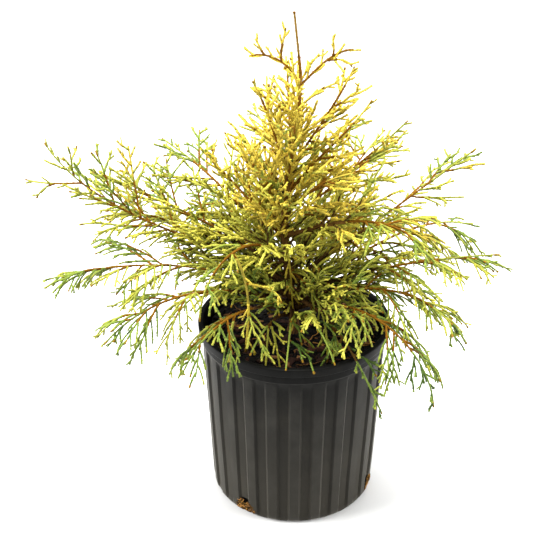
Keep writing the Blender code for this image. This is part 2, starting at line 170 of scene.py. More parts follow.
camera = bpy.data.cameras.new("camera")
camera.sensor_width = SENSOR_WIDTH
camera.lens = SENSOR_WIDTH * FOCAL_PIXELS / FRAME_PIXELS
camera.clip_start = 0.01
camera_object = bpy.data.objects.new("camera", camera)
camera_object.location = CAMERA_PLACE
camera_object.rotation_euler = (CAMERA_TARGET - CAMERA_PLACE).to_track_quat("-Z", "Y").to_euler()
SCENE.collection.objects.link(camera_object)
SCENE.camera = camera_object
SCENE.view_settings.view_transform = "Standard"

# The pot
# A black three-litre nursery pot, blow-moulded in polyethylene with a rolled lip, a groove under it, twenty-four
# vertical flutes that stiffen the wall, and drain holes cut through the corner of its foot.
POT_HEIGHT = 0.167
RIM_RADIUS = 0.0825
LIP_HEIGHT = 0.0082
LIP_WIDTH = 0.0046
NECK_HEIGHT = 0.0085
NECK_RADIUS = 0.0792
WALL_TOP_RADIUS = 0.0786
FOOT_RADIUS = 0.0708
FOOT_CORNER = 0.0078
WALL = 0.0014
FLUTES = 24
FLUTE_DEPTH = 0.0019
FLUTE_FADE = 0.0035
# the heights between which the flutes run out at the foot, and where a channel's side lies, as shares of a flute
FLUTE_FOOT = (0.0010, 0.0085)
FLUTE_WALL = (0.215, 0.285)
DRAIN_HOLE_AZIMUTHS = (-37, 72, 198)
DRAIN_HOLE_RADIUS = 0.0092
DRAIN_HOLE_HEIGHT = 0.0070
DRAIN_HOLE_SLOPE = 30
DRILL_LENGTH, DRILL_SIDES = 0.03, 40
POT_COLUMNS = FLUTES * 20
POT_ROW = 0.0045
ARC_STEPS = 4
POT_WARP = 0.00022
SHARP_EDGE = 38
STREAK_WIDTH, STREAK_LENGTH = 0.006, 0.045
RUBBED_PATCH = 0.028
PEBBLE = 0.0008
POLYETHYLENE = "#040403"
POLYETHYLENE_RUBBED = "#0b0b09"
# the pale of worn ribs and edges, which also serves as their painted highlight
RIB_WEAR_AND_PAINTED_HIGHLIGHT = "#2f2e2b"
# dust, which lower down also paints the light bounced up from the floor
POT_DUST_AND_PAINTED_BOUNCE = "#34312a"
DUST_TINT = "#fbf6e8"
DUST_SHEEN = 0.26
# the sockets of a Mix node that mixes colours, which share their names with others
MIX_SHARE, MIX_A, MIX_B, MIX_OUT = 0, 6, 7, 2
NECK_FOOT = POT_HEIGHT - LIP_HEIGHT - NECK_HEIGHT


def cone_radius(height):
    """Outer radius of the pot's straight wall at a height."""
    share = (height - FOOT_CORNER) / (NECK_FOOT - FOOT_CORNER)
    return FOOT_RADIUS + (WALL_TOP_RADIUS - FOOT_RADIUS) * share


def inner_radius(height):
    """Radius of the pot's plain inside at a height."""
    return cone_radius(height) - FLUTE_DEPTH - WALL


def smooth_step(low, high, value):
    """0 below low and 1 above high, with a soft change between them."""
    share = np.clip((value - low) / (high - low), 0, 1)
    return share * share * (3 - 2 * share)


def rounded_outline(corners):
    """Points along (radius, height, rounding) corners, with an arc at each and rows on the long runs."""
    points = []
    for k, (radius, height, rounding) in enumerate(corners):
        here = np.array((radius, height))
        if not rounding:
            points.append(here)
            continue
        before = np.array(corners[k - 1][:2]) - here
        after = np.array(corners[k + 1][:2]) - here
        start = here + before / np.linalg.norm(before) * rounding
        finish = here + after / np.linalg.norm(after) * rounding
        for share in np.linspace(0, 1, ARC_STEPS + 1):
            points.append(start * (1 - share) ** 2 + here * 2 * share * (1 - share) + finish * share ** 2)
    rows = [points[0]]
    for point in points[1:]:
        run = np.linalg.norm(point - rows[-1])
        pieces = max(1, round(run / POT_ROW))
        start = rows[-1]
        rows += [start + (point - start) * (m + 1) / pieces for m in range(pieces)]
    return np.array(rows)


def ring_quads(rings, sides):
    """Faces that join rings of points, numbered one ring after the other."""
    low = (np.arange(rings - 1)[:, None] * sides + np.arange(sides)).ravel()
    beside = (np.arange(rings - 1)[:, None] * sides + (np.arange(sides) + 1) % sides).ravel()
    return np.stack((low, beside, beside + sides, low + sides), -1).tolist()


def turned_mesh(name, outline, columns, relief=None):
    """A solid turned about Z from an outline that starts and ends on the axis. relief moves its points outward."""
    angles = np.arange(columns) * math.tau / columns
    radii, heights = np.repeat(outline[1:-1, 0:1], columns, 1), np.repeat(outline[1:-1, 1:2], columns, 1)
    if relief is not None:
        radii = radii + relief(radii, heights, np.broadcast_to(angles, radii.shape))
    points = np.stack((radii * np.cos(angles), radii * np.sin(angles), heights), -1).reshape(-1, 3)
    rows = len(outline) - 2
    ends = np.array([(0, 0, outline[0][1]), (0, 0, outline[-1][1])])
    last = (rows - 1) * columns
    first_hub, last_hub = len(points), len(points) + 1
    fans = [(first_hub, (k + 1) % columns, k) for k in range(columns)]
    fans += [(last_hub, last + k, last + (k + 1) % columns) for k in range(columns)]
    mesh = bpy.data.meshes.new(name)
    mesh.from_pydata(np.concatenate((points, ends)).tolist(), [], ring_quads(rows, columns) + fans)
    mesh.shade_smooth()
    return mesh


def flutes(radii, heights, angles):
    """How far the flutes' channels and the wall's slight warp move each point of the pot."""
    turn = (angles * FLUTES / math.tau) % 1
    channel = 1 - smooth_step(*FLUTE_WALL, np.abs(turn - 0.5))
    foot = smooth_step(*FLUTE_FOOT, heights)
    top = 1 - smooth_step(NECK_FOOT - 1.2 * FLUTE_FADE, NECK_FOOT - 0.2 * FLUTE_FADE, heights)
    outer = radii > inner_radius(heights) + WALL
    # a warm pot sags as it cools, so it is out of round in two, three and seven waves
    warp = np.sin(2 * angles + 0.8) + 0.6 * np.sin(3 * angles + heights * 40) + 0.4 * np.sin(7 * angles - heights * 65)
    return outer * (POT_WARP * warp * smooth_step(0, 0.03, heights) - FLUTE_DEPTH * channel * foot * top)


mouth_radius = RIM_RADIUS - LIP_WIDTH
# radius, height and rounding of each corner: along the underside, up the outside, over the lip and down the inside
pot_outline = rounded_outline((
    (0, 0, 0),
    (FOOT_RADIUS, 0, FOOT_CORNER),
    (WALL_TOP_RADIUS, NECK_FOOT, 0.0004),
    (NECK_RADIUS, NECK_FOOT + 0.0012, 0.0005),
    (NECK_RADIUS, POT_HEIGHT - LIP_HEIGHT - 0.0016, 0.0006),
    (NECK_RADIUS - 0.0012, POT_HEIGHT - LIP_HEIGHT - 0.0002, 0.0005),
    (RIM_RADIUS - 0.0003, POT_HEIGHT - LIP_HEIGHT, 0.0012),
    (RIM_RADIUS, POT_HEIGHT - 0.0006, 0.0013),
    (mouth_radius, POT_HEIGHT, 0.0013),
    (mouth_radius - 0.0003, POT_HEIGHT - 0.0065, 0.0010),
    (inner_radius(NECK_FOOT), NECK_FOOT - 0.001, 0.0010),
    (inner_radius(FOOT_CORNER), FOOT_CORNER, 0.002),
    (FOOT_RADIUS - FOOT_CORNER - WALL, WALL, 0.002),
    (0, WALL, 0),
))
pot = add_piece("nursery_pot", turned_mesh("nursery_pot", pot_outline, POT_COLUMNS, flutes))
cutters = bpy.data.collections.new("drain_cutters")
SCENE.collection.children.link(cutters)
for degrees in DRAIN_HOLE_AZIMUTHS:
    azimuth = math.radians(degrees) - math.pi / 2
    drill = bmesh.new()
    bmesh.ops.create_cone(
        drill, cap_ends=True, segments=DRILL_SIDES, radius1=DRAIN_HOLE_RADIUS, radius2=DRAIN_HOLE_RADIUS,
        depth=DRILL_LENGTH,
    )
    tip = Matrix.Rotation(math.radians(90 + DRAIN_HOLE_SLOPE), 4, "Y")
    centre = Matrix.Translation((FOOT_RADIUS - 0.002, 0, DRAIN_HOLE_HEIGHT))
    drill.transform(Matrix.Rotation(azimuth, 4, "Z") @ centre @ tip)
    cutter_mesh = bpy.data.meshes.new("drain_cutter")
    drill.to_mesh(cutter_mesh)
    drill.free()
    cutters.objects.link(bpy.data.objects.new("drain_cutter", cutter_mesh))
holes = pot.modifiers.new("drain_holes", "BOOLEAN")
holes.operand_type = "COLLECTION"
holes.collection = cutters
holes.solver = "EXACT"
bpy.context.view_layer.update()
pot.data = bpy.data.meshes.new_from_object(pot.evaluated_get(bpy.context.evaluated_depsgraph_get()))
pot.modifiers.clear()
for cutter in list(cutters.objects):
    bpy.data.objects.remove(cutter)
bpy.data.collections.remove(cutters)
pot.data.shade_smooth()
pot.data.set_sharp_from_angle(angle=math.radians(SHARP_EDGE))


def polyethylene(name, dust_film):
    """Black polyethylene as it comes off the mould: a low satin gloss, vertical streaks, brown dust in patches, a paler
    tone lower down that is partly dust and partly painted light bounced from the floor, ribs and edges painted pale as
    wear and as painted highlights with the channels left dark as painted shade, and a faint pebble from the mould,
    drawn at 0.8 mm so that it shows. dust_film is how much the dust brightens the plastic where it turns away."""
    plastic, tree, shader = start_material(
        name, POLYETHYLENE, IOR=1.53, Specular_IOR_Level=0.07, Sheen_Weight=dust_film, Sheen_Roughness=0.34,
        Sheen_Tint=linear(DUST_TINT),
    )
    place = add_node(tree, "ShaderNodeTexCoord").outputs["Object"]
    streaks = add_node(
        tree, "ShaderNodeMapping", {"Scale": (1 / STREAK_WIDTH, 1 / STREAK_WIDTH, 1 / STREAK_LENGTH)},
        {"Vector": place}, vector_type="POINT",
    )
    streak_noise = add_node(
        tree, "ShaderNodeTexNoise", {"Scale": 1.0, "Detail": 5.0, "Roughness": 0.62}, {"Vector": streaks.outputs[0]}
    )
    streak_share = add_node(
        tree, "ShaderNodeMapRange", {"From Min": 0.42, "From Max": 0.78}, {"Value": streak_noise.outputs["Fac"]}
    )
    streaked = add_node(
        tree, "ShaderNodeMix", {MIX_A: linear(POLYETHYLENE), MIX_B: linear(POLYETHYLENE_RUBBED)},
        {MIX_SHARE: streak_share.outputs[0]}, data_type="RGBA",
    )

    # dust in patches, and a paler tone lower down: partly more dust there, partly painted light bounced from the floor
    rub_noise = add_node(
        tree, "ShaderNodeTexNoise", {"Scale": 1 / RUBBED_PATCH, "Detail": 6.0, "Roughness": 0.6}, {"Vector": place}
    )
    rub_share = add_node(
        tree, "ShaderNodeMapRange", {"From Min": 0.5, "From Max": 0.85, "To Max": 0.25},
        {"Value": rub_noise.outputs["Fac"]},
    )
    across = add_node(tree, "ShaderNodeSeparateXYZ", {}, {"Vector": place})
    painted_bounce_lower_down = add_node(
        tree, "ShaderNodeMapRange", {"From Min": NECK_FOOT, "From Max": 0.0, "To Max": 0.62},
        {"Value": across.outputs["Z"]},
    )
    dust_and_bounce_share = add_node(
        tree, "ShaderNodeMath", {}, {0: rub_share.outputs[0], 1: painted_bounce_lower_down.outputs[0]}, operation="ADD",
        use_clamp=True,
    )
    dusted_and_bounce_lit = add_node(
        tree, "ShaderNodeMix", {MIX_B: linear(POT_DUST_AND_PAINTED_BOUNCE)},
        {MIX_A: streaked.outputs[MIX_OUT], MIX_SHARE: dust_and_bounce_share.outputs[0]}, data_type="RGBA",
    )

    # the ribs stand out, so they are rubbed pale, and they are painted paler still as a painted highlight while the
    # channels
    # stay dark as painted shade: the turn about the axis tells them apart
    turn = add_node(
        tree, "ShaderNodeMath", {}, {0: across.outputs["Y"], 1: across.outputs["X"]}, operation="ARCTAN2"
    )
    rib = add_node(tree, "ShaderNodeMath", {1: FLUTES}, {0: turn.outputs[0]}, operation="MULTIPLY")
    rib_wave = add_node(tree, "ShaderNodeMath", {}, {0: rib.outputs[0]}, operation="COSINE")
    painted_lit_rib_face = add_node(
        tree, "ShaderNodeMapRange", {"From Min": -0.25, "From Max": 0.35}, {"Value": rib_wave.outputs[0]},
        interpolation_type="SMOOTHSTEP",
    )
    rib_rub_and_light = add_node(
        tree, "ShaderNodeMapRange", {"From Min": 0.36, "From Max": 0.66, "To Min": 0.04, "To Max": 0.36},
        {"Value": rub_noise.outputs["Fac"]},
    )
    rib_wear_and_light_share = add_node(
        tree, "ShaderNodeMath", {}, {0: painted_lit_rib_face.outputs[0], 1: rib_rub_and_light.outputs[0]}, operation="MULTIPLY"
    )
    below_lip = add_node(
        tree, "ShaderNodeMapRange", {"From Min": NECK_FOOT, "From Max": NECK_FOOT - FLUTE_FADE, "To Max": 1.0},
        {"Value": across.outputs["Z"]},
    )
    rib_wear_and_light_share = add_node(
        tree, "ShaderNodeMath", {}, {0: rib_wear_and_light_share.outputs[0], 1: below_lip.outputs[0]}, operation="MULTIPLY"
    )
    # and so is every other edge that stands out, such as the lip's: partly wear, partly a painted highlight
    edge = add_node(tree, "ShaderNodeNewGeometry").outputs["Pointiness"]
    edge_wear_and_highlight_share = add_node(
        tree, "ShaderNodeMapRange", {"From Min": 0.52, "From Max": 0.60, "To Max": 0.25}, {"Value": edge}
    )
    worn_and_highlit_share = add_node(
        tree, "ShaderNodeMath", {}, {0: rib_wear_and_light_share.outputs[0], 1: edge_wear_and_highlight_share.outputs[0]}, operation="MAXIMUM"
    )
    worn_and_highlit = add_node(
        tree, "ShaderNodeMix", {MIX_B: linear(RIB_WEAR_AND_PAINTED_HIGHLIGHT)},
        {MIX_A: dusted_and_bounce_lit.outputs[MIX_OUT], MIX_SHARE: worn_and_highlit_share.outputs[0]}, data_type="RGBA",
    )
    tree.links.new(worn_and_highlit.outputs[MIX_OUT], shader.inputs["Base Color"])

    gloss = add_node(tree, "ShaderNodeMapRange", {"To Min": 0.40, "To Max": 0.66}, {"Value": rub_noise.outputs["Fac"]})
    tree.links.new(gloss.outputs[0], shader.inputs["Roughness"])
    pebble = add_node(tree, "ShaderNodeTexNoise", {"Scale": 1 / PEBBLE, "Detail": 2.0}, {"Vector": place})
    bump = add_node(tree, "ShaderNodeBump", {"Strength": 0.25, "Distance": 0.0002}, {"Height": pebble.outputs["Fac"]})
    tree.links.new(bump.outputs["Normal"], shader.inputs["Normal"])
    return plastic


# hands keep the lip and the inside clean, so only the wall has the film of dust
pot.data.materials.clear()
pot.data.materials.append(polyethylene("blow_moulded_polyethylene_dusty", DUST_SHEEN))
pot.data.materials.append(polyethylene("blow_moulded_polyethylene_clean", 0.0))
for face in pot.data.polygons:
    face.material_index = int(face.center.z > NECK_FOOT + 0.0006 or face.normal.xy.dot(face.center.xy) < -0.0001)
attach(pot, "root")
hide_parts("pot")

# The bark mix
# A root ball in a mix of composted pine bark: black fines on top with red-brown flakes, pale slivers and a few dry
# threads that fell from the plant. At the drain holes the brown roots have grown up against the wall.
SOIL_LEVEL = 0.155
ROOT_BALL_ROOM = 0.0004
SOIL_COLUMNS = 180
SOIL_RINGS = 34
SOIL_RELIEF = 0.0022
LUMP, CRUMB = 0.018, 0.0045
BALL_RELIEF, BALL_LUMP = 0.0009, 0.006
FINES_COLOURS = ("#070504", "#150f0a")
# name, how many, shortest and longest, and the dark and the pale colour
FLAKE_KINDS = (
    ("bark_fines", 1500, (0.0016, 0.0050), "#0a0705", "#17110c"),
    ("bark_flakes", 150, (0.004, 0.010), "#25140c", "#4e2a19"),
    ("bark_chips", 14, (0.011, 0.018), "#2a1710", "#5a3320"),
    ("pale_slivers", 40, (0.004, 0.010), "#6a4526", "#a67a48"),
)


def soil_height(x, y):
    """The lumpy top of the mix."""
    coarse = noise.noise(Vector((x / LUMP, y / LUMP, 0.3)))
    fine = noise.noise(Vector((x / CRUMB, y / CRUMB, 4.0)))
    return SOIL_LEVEL + SOIL_RELIEF * (0.6 * coarse + 0.35 * fine)


def mottled(name, colours, grain, roughness, bump_height):
    """A matt natural surface: two colours mixed by a noise of the grain's size in metres, with a bump of that size."""
    made, tree, shader = start_material(name, colours[0], Roughness=roughness, Specular_IOR_Level=0.25)
    place = add_node(tree, "ShaderNodeTexCoord").outputs["Object"]
    island = add_node(tree, "ShaderNodeNewGeometry").outputs["Random Per Island"]
    speckle = add_node(tree, "ShaderNodeTexNoise", {"Scale": 1 / grain, "Detail": 4.0}, {"Vector": place})
    share = add_node(
        tree, "ShaderNodeMath", links={0: speckle.outputs["Fac"], 1: island}, operation="MULTIPLY", use_clamp=True
    )
    mixed = add_node(
        tree, "ShaderNodeMix", {MIX_A: linear(colours[0]), MIX_B: linear(colours[1])},
        {MIX_SHARE: share.outputs[0]}, data_type="RGBA",
    )
    bump = add_node(
        tree, "ShaderNodeBump", {"Strength": 0.6, "Distance": bump_height}, {"Height": speckle.outputs["Fac"]}
    )
    tree.links.new(mixed.outputs[MIX_OUT], shader.inputs["Base Color"])
    tree.links.new(bump.outputs["Normal"], shader.inputs["Normal"])
    return made


def box_flakes(name, count, lengths, draw, spots):
    """Joined flakes of bark: six-sided blocks with every corner knocked about, each laid at one of the spots."""
    unit = np.array([(x, y, z) for x in (-0.5, 0.5) for y in (-0.5, 0.5) for z in (-0.5, 0.5)])
    sides = np.array([(0, 1, 3, 2), (4, 6, 7, 5), (0, 4, 5, 1), (2, 3, 7, 6), (0, 2, 6, 4), (1, 5, 7, 3)])
    points, faces = [], []
    for k in range(count):
        length = draw.uniform(*lengths)
        block = unit * (length, length * draw.uniform(0.3, 0.7), length * draw.uniform(0.10, 0.28))
        block = block * np.array([[draw.uniform(0.55, 1.1) for _ in range(3)] for _ in range(8)])
        turn = Matrix.Rotation(draw.uniform(0, math.tau), 3, "Z") @ Matrix.Rotation(draw.gauss(0, 0.35), 3, "X")
        turn = turn @ Matrix.Rotation(draw.gauss(0, 0.35), 3, "Y")
        points.append(block @ np.array(turn).T + spots(draw))
        faces.append(sides + 8 * k)
    return mesh_of(name, np.concatenate(points), np.concatenate(faces), smooth=False)


soil_edge = inner_radius(NECK_FOOT) - ROOT_BALL_ROOM


def soil_spot(draw):
    """A place on the mix, never on the trunk."""
    radius = soil_edge * math.sqrt(draw.uniform(0.02, 0.92))
    angle = draw.uniform(0, math.tau)
    x, y = radius * math.cos(angle), radius * math.sin(angle)
    return np.array((x, y, soil_height(x, y) + 0.0004))


ball_floor = WALL + 0.0003
ball_outline = [(0, ball_floor), (FOOT_RADIUS - FOOT_CORNER - WALL - ROOT_BALL_ROOM, ball_floor)]
for height in np.linspace(FOOT_CORNER + ROOT_BALL_ROOM, SOIL_LEVEL - 0.0025, 28):
    ball_outline.append((inner_radius(height) - ROOT_BALL_ROOM, height))
for share in np.linspace(0.985, 0.03, SOIL_RINGS):
    ball_outline.append((soil_edge * share, SOIL_LEVEL))
ball_outline.append((0, SOIL_LEVEL))
ball_mesh = turned_mesh("root_ball_mix", np.array(ball_outline), SOIL_COLUMNS)
for vertex in ball_mesh.vertices:
    away = math.hypot(vertex.co.x, vertex.co.y)
    if vertex.co.z > SOIL_LEVEL - 0.001 and away < soil_edge * 0.99:
        vertex.co.z = soil_height(vertex.co.x, vertex.co.y)
    elif vertex.co.z > ball_floor + 0.001:
        inward = 1 - BALL_RELIEF * (1 + noise.noise(vertex.co / BALL_LUMP)) / away
        vertex.co.x *= inward
        vertex.co.y *= inward
ball = add_piece("root_ball_mix", ball_mesh, mottled("composted_bark_fines", FINES_COLOURS, 0.003, 0.95, 0.0008))
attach(ball, "root")
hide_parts("root_ball")
for name, count, lengths, dark, pale in FLAKE_KINDS:
    flakes_mesh = box_flakes(name, count, lengths, random.Random(name), soil_spot)
    flakes = add_piece(name, flakes_mesh, mottled(name + "_screened_pine", (dark, pale), 0.002, 0.9, 0.0003))
    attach(flakes, "root")

# The trunk and boughs
# One woody leader that leans a little, with a flared foot, and twenty-two boughs that leave it all round. The bark is
# young: reddish brown, splitting into thin fibrous strips that run along the wood and lift at their edges.
TRUNK_LINE = (
    (0.000, 0.000, 0.1553),
    (0.000, 0.000, 0.1600),
    (-0.001, 0.000, 0.1750),
    (-0.006, 0.001, 0.2150),
    (-0.009, 0.000, 0.2600),
    (-0.005, 0.000, 0.3100),
    (0.001, 0.000, 0.3500),
    (0.003, 0.000, 0.3880),
)
TRUNK_FOOT_RADIUS = 0.0068
TRUNK_RADIUS = 0.0046
TRUNK_TIP_RADIUS = 0.0013
FLARE_HEIGHT = 0.012
BOUGH_RADII = (0.0019, 0.0014)
STEM_RADII = (0.0015, 0.0009)
LINE_STEPS = 36
GAP = 0.0003
UP = Vector((0, 0, 1))
BOUGH_COLLAR, COLLAR_SHARE = 0.0011, 0.12
BOUGH_SINK = 0.0015
BARK_RIDGE = 0.0007
STRIP_WIDTH, STRIP_LENGTH = 0.0009, 0.011
SWELLING = 0.009
TRUNK_SIDES, BOUGH_SIDES = 28, 14
BARK_RING = 0.0014
BARK_COLOURS = ("#2e2011", "#5e4220")
YOUNG_BARK = "#8c6428"
YOUNG_HEIGHTS = (0.22, 0.34)

# height is where a limb leaves the trunk. pitches are its slopes at its start, middle and end, and turn is how far
# its heading swings, in degrees. bough and mass are lengths along it: with no bough, the mass grows from the trunk.
# fan is its longest side shoot, roll tilts the plane of the spray, lift turns the side shoots up or down, and fade is
# how fast they shorten towards the tip.
Limb = namedtuple("Limb", "name height azimuth pitches turn bough mass fan roll lift fade", defaults=(0.6,))
LIMBS = (
    Limb("low_left", 0.190, 188, (34, 8, -12), 2, 0.065, 0.142, 0.070, 10, -0.45),
    Limb("low_left_front", 0.184, 207, (30, 6, -44), 2, 0.058, 0.120, 0.062, 0, -0.60),
    Limb("left_front", 0.178, 228, (32, 2, -56), 0, 0.050, 0.092, 0.049, 0, -0.70),
    Limb("front_left", 0.1725, 246, (36, -6, -58), -4, 0.036, 0.072, 0.038, 0, -0.60),
    Limb("front", 0.1785, 268, (30, -10, -40), -6, 0.028, 0.056, 0.032, 0, -0.50),
    Limb("front_right", 0.173, 290, (40, -8, -58), 4, 0.034, 0.070, 0.038, 0, -0.60),
    Limb("right_front", 0.179, 316, (34, -8, -84), 2, 0.055, 0.126, 0.054, 0, -0.80),
    Limb("right_hanging", 0.188, 306, (20, -30, -50), 2, 0.044, 0.092, 0.040, 0, -0.70),
    Limb("low_right", 0.1845, 338, (28, 4, -64), -2, 0.058, 0.108, 0.057, 0, -0.60),
    Limb("right", 0.192, 354, (26, 16, 8), -4, 0.066, 0.108, 0.068, -15, -0.30),
    Limb("back_right", 0.184, 24, (30, 14, -30), 4, 0.064, 0.126, 0.068, 0, -0.60),
    Limb("back", 0.180, 70, (32, 8, -32), -8, 0.058, 0.118, 0.062, 0, -0.50),
    Limb("back_left", 0.184, 116, (30, 10, -28), 8, 0.064, 0.122, 0.065, 0, -0.50),
    Limb("left_back", 0.196, 160, (34, 14, 4), -4, 0.060, 0.125, 0.068, 10, -0.35),
    Limb("mid_left", 0.203, 174, (32, 24, 62), 4, 0.075, 0.158, 0.068, 30, 0.10),
    Limb("mid_left_rear", 0.210, 164, (38, 20, 16), -2, 0.058, 0.128, 0.057, 20, 0.10),
    Limb("mid_right", 0.206, 12, (30, 36, 36), -4, 0.070, 0.114, 0.062, -25, 0.10),
    Limb("mid_front_right", 0.248, 336, (26, 10, -52), -4, 0.058, 0.080, 0.046, 0, -0.50),
    Limb("mid_front_left", 0.224, 228, (56, -2, -90), 6, 0.034, 0.106, 0.046, 0, -0.60),
    Limb("mid_back_right", 0.214, 50, (42, 28, 10), 8, 0.054, 0.112, 0.059, 0, 0.20),
    Limb("mid_back", 0.2225, 100, (44, 28, 8), -8, 0.052, 0.108, 0.057, 0, 0.20),
    Limb("mid_back_left", 0.2165, 134, (42, 26, 14), 6, 0.058, 0.106, 0.057, 15, 0.20),
    Limb("upper_left", 0.246, 178, (52, 50, 44), -6, 0, 0.100, 0.054, 35, 0.50),
    Limb("upper_left_front", 0.262, 214, (66, 62, 56), 8, 0, 0.090, 0.049, 40, 0.60),
    Limb("upper_right", 0.256, 6, (48, 42, 48), -6, 0, 0.130, 0.054, -35, 0.40),
    Limb("upper_right_mid", 0.290, 340, (58, 50, 60), -6, 0, 0.108, 0.049, -40, 0.50),
    Limb("upper_right_front", 0.270, 318, (54, 40, 22), 6, 0, 0.084, 0.046, -30, 0.30),
    Limb("upper_back_left", 0.268, 128, (56, 46, 40), 6, 0, 0.072, 0.046, 20, 0.50),
    Limb("upper_back", 0.264, 72, (56, 46, 40), -6, 0, 0.090, 0.051, -20, 0.50),
    Limb("upper_front", 0.256, 270, (62, 46, 10), 6, 0, 0.062, 0.041, 0, 0.20),
    Limb("top_left", 0.312, 186, (68, 72, 62), 6, 0, 0.076, 0.038, 40, 0.60),
    Limb("top_right", 0.312, 10, (58, 58, 68), -6, 0, 0.092, 0.043, -40, 0.60),
    Limb("top_back", 0.322, 98, (64, 56, 60), -6, 0, 0.072, 0.038, 0, 0.60),
    Limb("leader", 0.388, 265, (88, 86, 84), 0, 0, 0.050, 0.078, 0, 0.10, 2.5),
)


def trunk_at(height):
    """The trunk's centre at a height."""
    for low, high in zip(TRUNK_LINE, TRUNK_LINE[1:]):
        if height <= high[2]:
            return Vector(low).lerp(Vector(high), (height - low[2]) / (high[2] - low[2]))
    return Vector(TRUNK_LINE[-1])


def trunk_radius(height):
    """The trunk's radius at a height, with the flare at its foot."""
    foot, tip = TRUNK_LINE[0][2], TRUNK_LINE[-1][2]
    taper = TRUNK_RADIUS + (TRUNK_TIP_RADIUS - TRUNK_RADIUS) * ((height - foot) / (tip - foot)) ** 0.8
    flare = max(0, 1 - (height - foot) / FLARE_HEIGHT) ** 2
    return taper + (TRUNK_FOOT_RADIUS - TRUNK_RADIUS) * flare


def towards(azimuth, pitch=0):
    """The direction with this azimuth and slope, both in degrees."""
    azimuth, pitch = math.radians(azimuth), math.radians(pitch)
    return Vector((math.cos(azimuth) * math.cos(pitch), math.sin(azimuth) * math.cos(pitch), math.sin(pitch)))


def bent_line(root, azimuth, pitches, turn, length):
    """Points from root, whose slope and heading change on the way."""
    start, middle, end = pitches
    points = [root]
    for k in range(LINE_STEPS):
        share = (k + 0.5) / LINE_STEPS
        pitch = start * (1 - share) * (1 - 2 * share) + 4 * middle * share * (1 - share)
        pitch += end * share * (2 * share - 1)
        points.append(points[-1] + towards(azimuth + turn * share, pitch) * (length / LINE_STEPS))
    return points


def limb_line(limb):
    """The limb's centreline, from the trunk's skin to the tip of its mass."""
    centre = trunk_at(limb.height)
    on_tip = limb.height >= TRUNK_LINE[-1][2]
    root_radius = BOUGH_RADII[0] if limb.bough else STEM_RADII[0]
    out = trunk_radius(limb.height) + GAP + root_radius * math.sin(math.radians(limb.pitches[0]))
    root = centre + UP * 2 * GAP if on_tip else centre + towards(limb.azimuth) * out
    return bent_line(root, limb.azimuth, limb.pitches, limb.turn, limb.bough + limb.mass)


def bough_end(limb):
    """The index on the limb's line where its bough ends."""
    return round(LINE_STEPS * limb.bough / (limb.bough + limb.mass))


def smooth_path(points, spacing):
    """Evenly spaced points on a smooth curve through points, and the length before each."""
    anchors = [2 * points[0] - points[1], *points, 2 * points[-1] - points[-2]]
    fine = []
    for a, b, c, d in zip(anchors, anchors[1:], anchors[2:], anchors[3:]):
        pieces = max(1, round((c - b).length / spacing))
        for k in range(pieces):
            t = k / pieces
            bend = (2 * a - 5 * b + 4 * c - d) * t * t + (3 * b - a - 3 * c + d) * t ** 3
            fine.append((2 * b + (c - a) * t + bend) / 2)
    fine.append(points[-1].copy())
    lengths = [0.0]
    for a, b in zip(fine, fine[1:]):
        lengths.append(lengths[-1] + (b - a).length)
    return fine, lengths


def bark_tube(points, radius_at, sides, ridge):
    """A closed tube with the bark's relief: strips a millimetre wide that run along it, and slight swellings."""
    path, lengths = smooth_path(points, BARK_RING)
    rings, back = [], Vector((0.31, -0.95, 0.05))
    for k, (point, length) in enumerate(zip(path, lengths)):
        ahead = (path[min(k + 1, len(path) - 1)] - path[max(k - 1, 0)]).normalized()
        back = (back - ahead * back.dot(ahead)).normalized()
        beside = ahead.cross(back)
        radius = radius_at(length / lengths[-1])
        for side in range(sides):
            angle = math.tau * side / sides
            x, y = math.cos(angle), math.sin(angle)
            strip_place = Vector((x * radius / STRIP_WIDTH, y * radius / STRIP_WIDTH, length / STRIP_LENGTH))
            strip = noise.noise(strip_place + points[0] * 700)
            swell = noise.noise(Vector((x, y, length / SWELLING)) + points[0] * 300)
            reach = radius + ridge * strip + 0.10 * radius * swell
            rings.append(point + (back * x + beside * y) * reach)
    last = (len(path) - 1) * sides
    caps = [list(range(sides))[::-1], list(range(last, last + sides))]
    return [tuple(point) for point in rings], ring_quads(len(path), sides) + caps


def wood_piece(name, tubes, material, nodes):
    """One piece from several bark tubes, which stands for these nodes."""
    points, faces = [], []
    for tube_points, tube_faces in tubes:
        faces += [[corner + len(points) for corner in face] for face in tube_faces]
        points += tube_points
    mesh = bpy.data.meshes.new(name)
    mesh.from_pydata(points, [], faces)
    mesh.shade_smooth()
    piece = add_piece(name, mesh, material)
    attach(piece, "root")
    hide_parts(*nodes)


# Young cypress bark: dull and fibrous, dark in the splits and warm red brown on the strips, and paler where the wood
# is youngest. The strips are 1 mm wide and nine times as long.
bark, tree, shader = start_material("young_cypress_bark", BARK_COLOURS[0], Roughness=0.9, Specular_IOR_Level=0.08)
place = add_node(tree, "ShaderNodeTexCoord").outputs["Object"]
stretched = add_node(
    tree, "ShaderNodeMapping", {"Scale": (1 / 0.001, 1 / 0.001, 1 / 0.009)}, {"Vector": place}, vector_type="POINT"
)
strips = add_node(tree, "ShaderNodeTexNoise", {"Scale": 1.0, "Detail": 4.0}, {"Vector": stretched.outputs[0]})
strip_share = add_node(
    tree, "ShaderNodeMapRange", {"From Min": 0.35, "From Max": 0.65}, {"Value": strips.outputs["Fac"]}
)
barked = add_node(
    tree, "ShaderNodeMix", {MIX_A: linear(BARK_COLOURS[0]), MIX_B: linear(BARK_COLOURS[1])},
    {MIX_SHARE: strip_share.outputs[0]}, data_type="RGBA",
)
bump = add_node(tree, "ShaderNodeBump", {"Strength": 0.8, "Distance": 0.0003}, {"Height": strips.outputs["Fac"]})
height = add_node(tree, "ShaderNodeSeparateXYZ", {}, {"Vector": place})
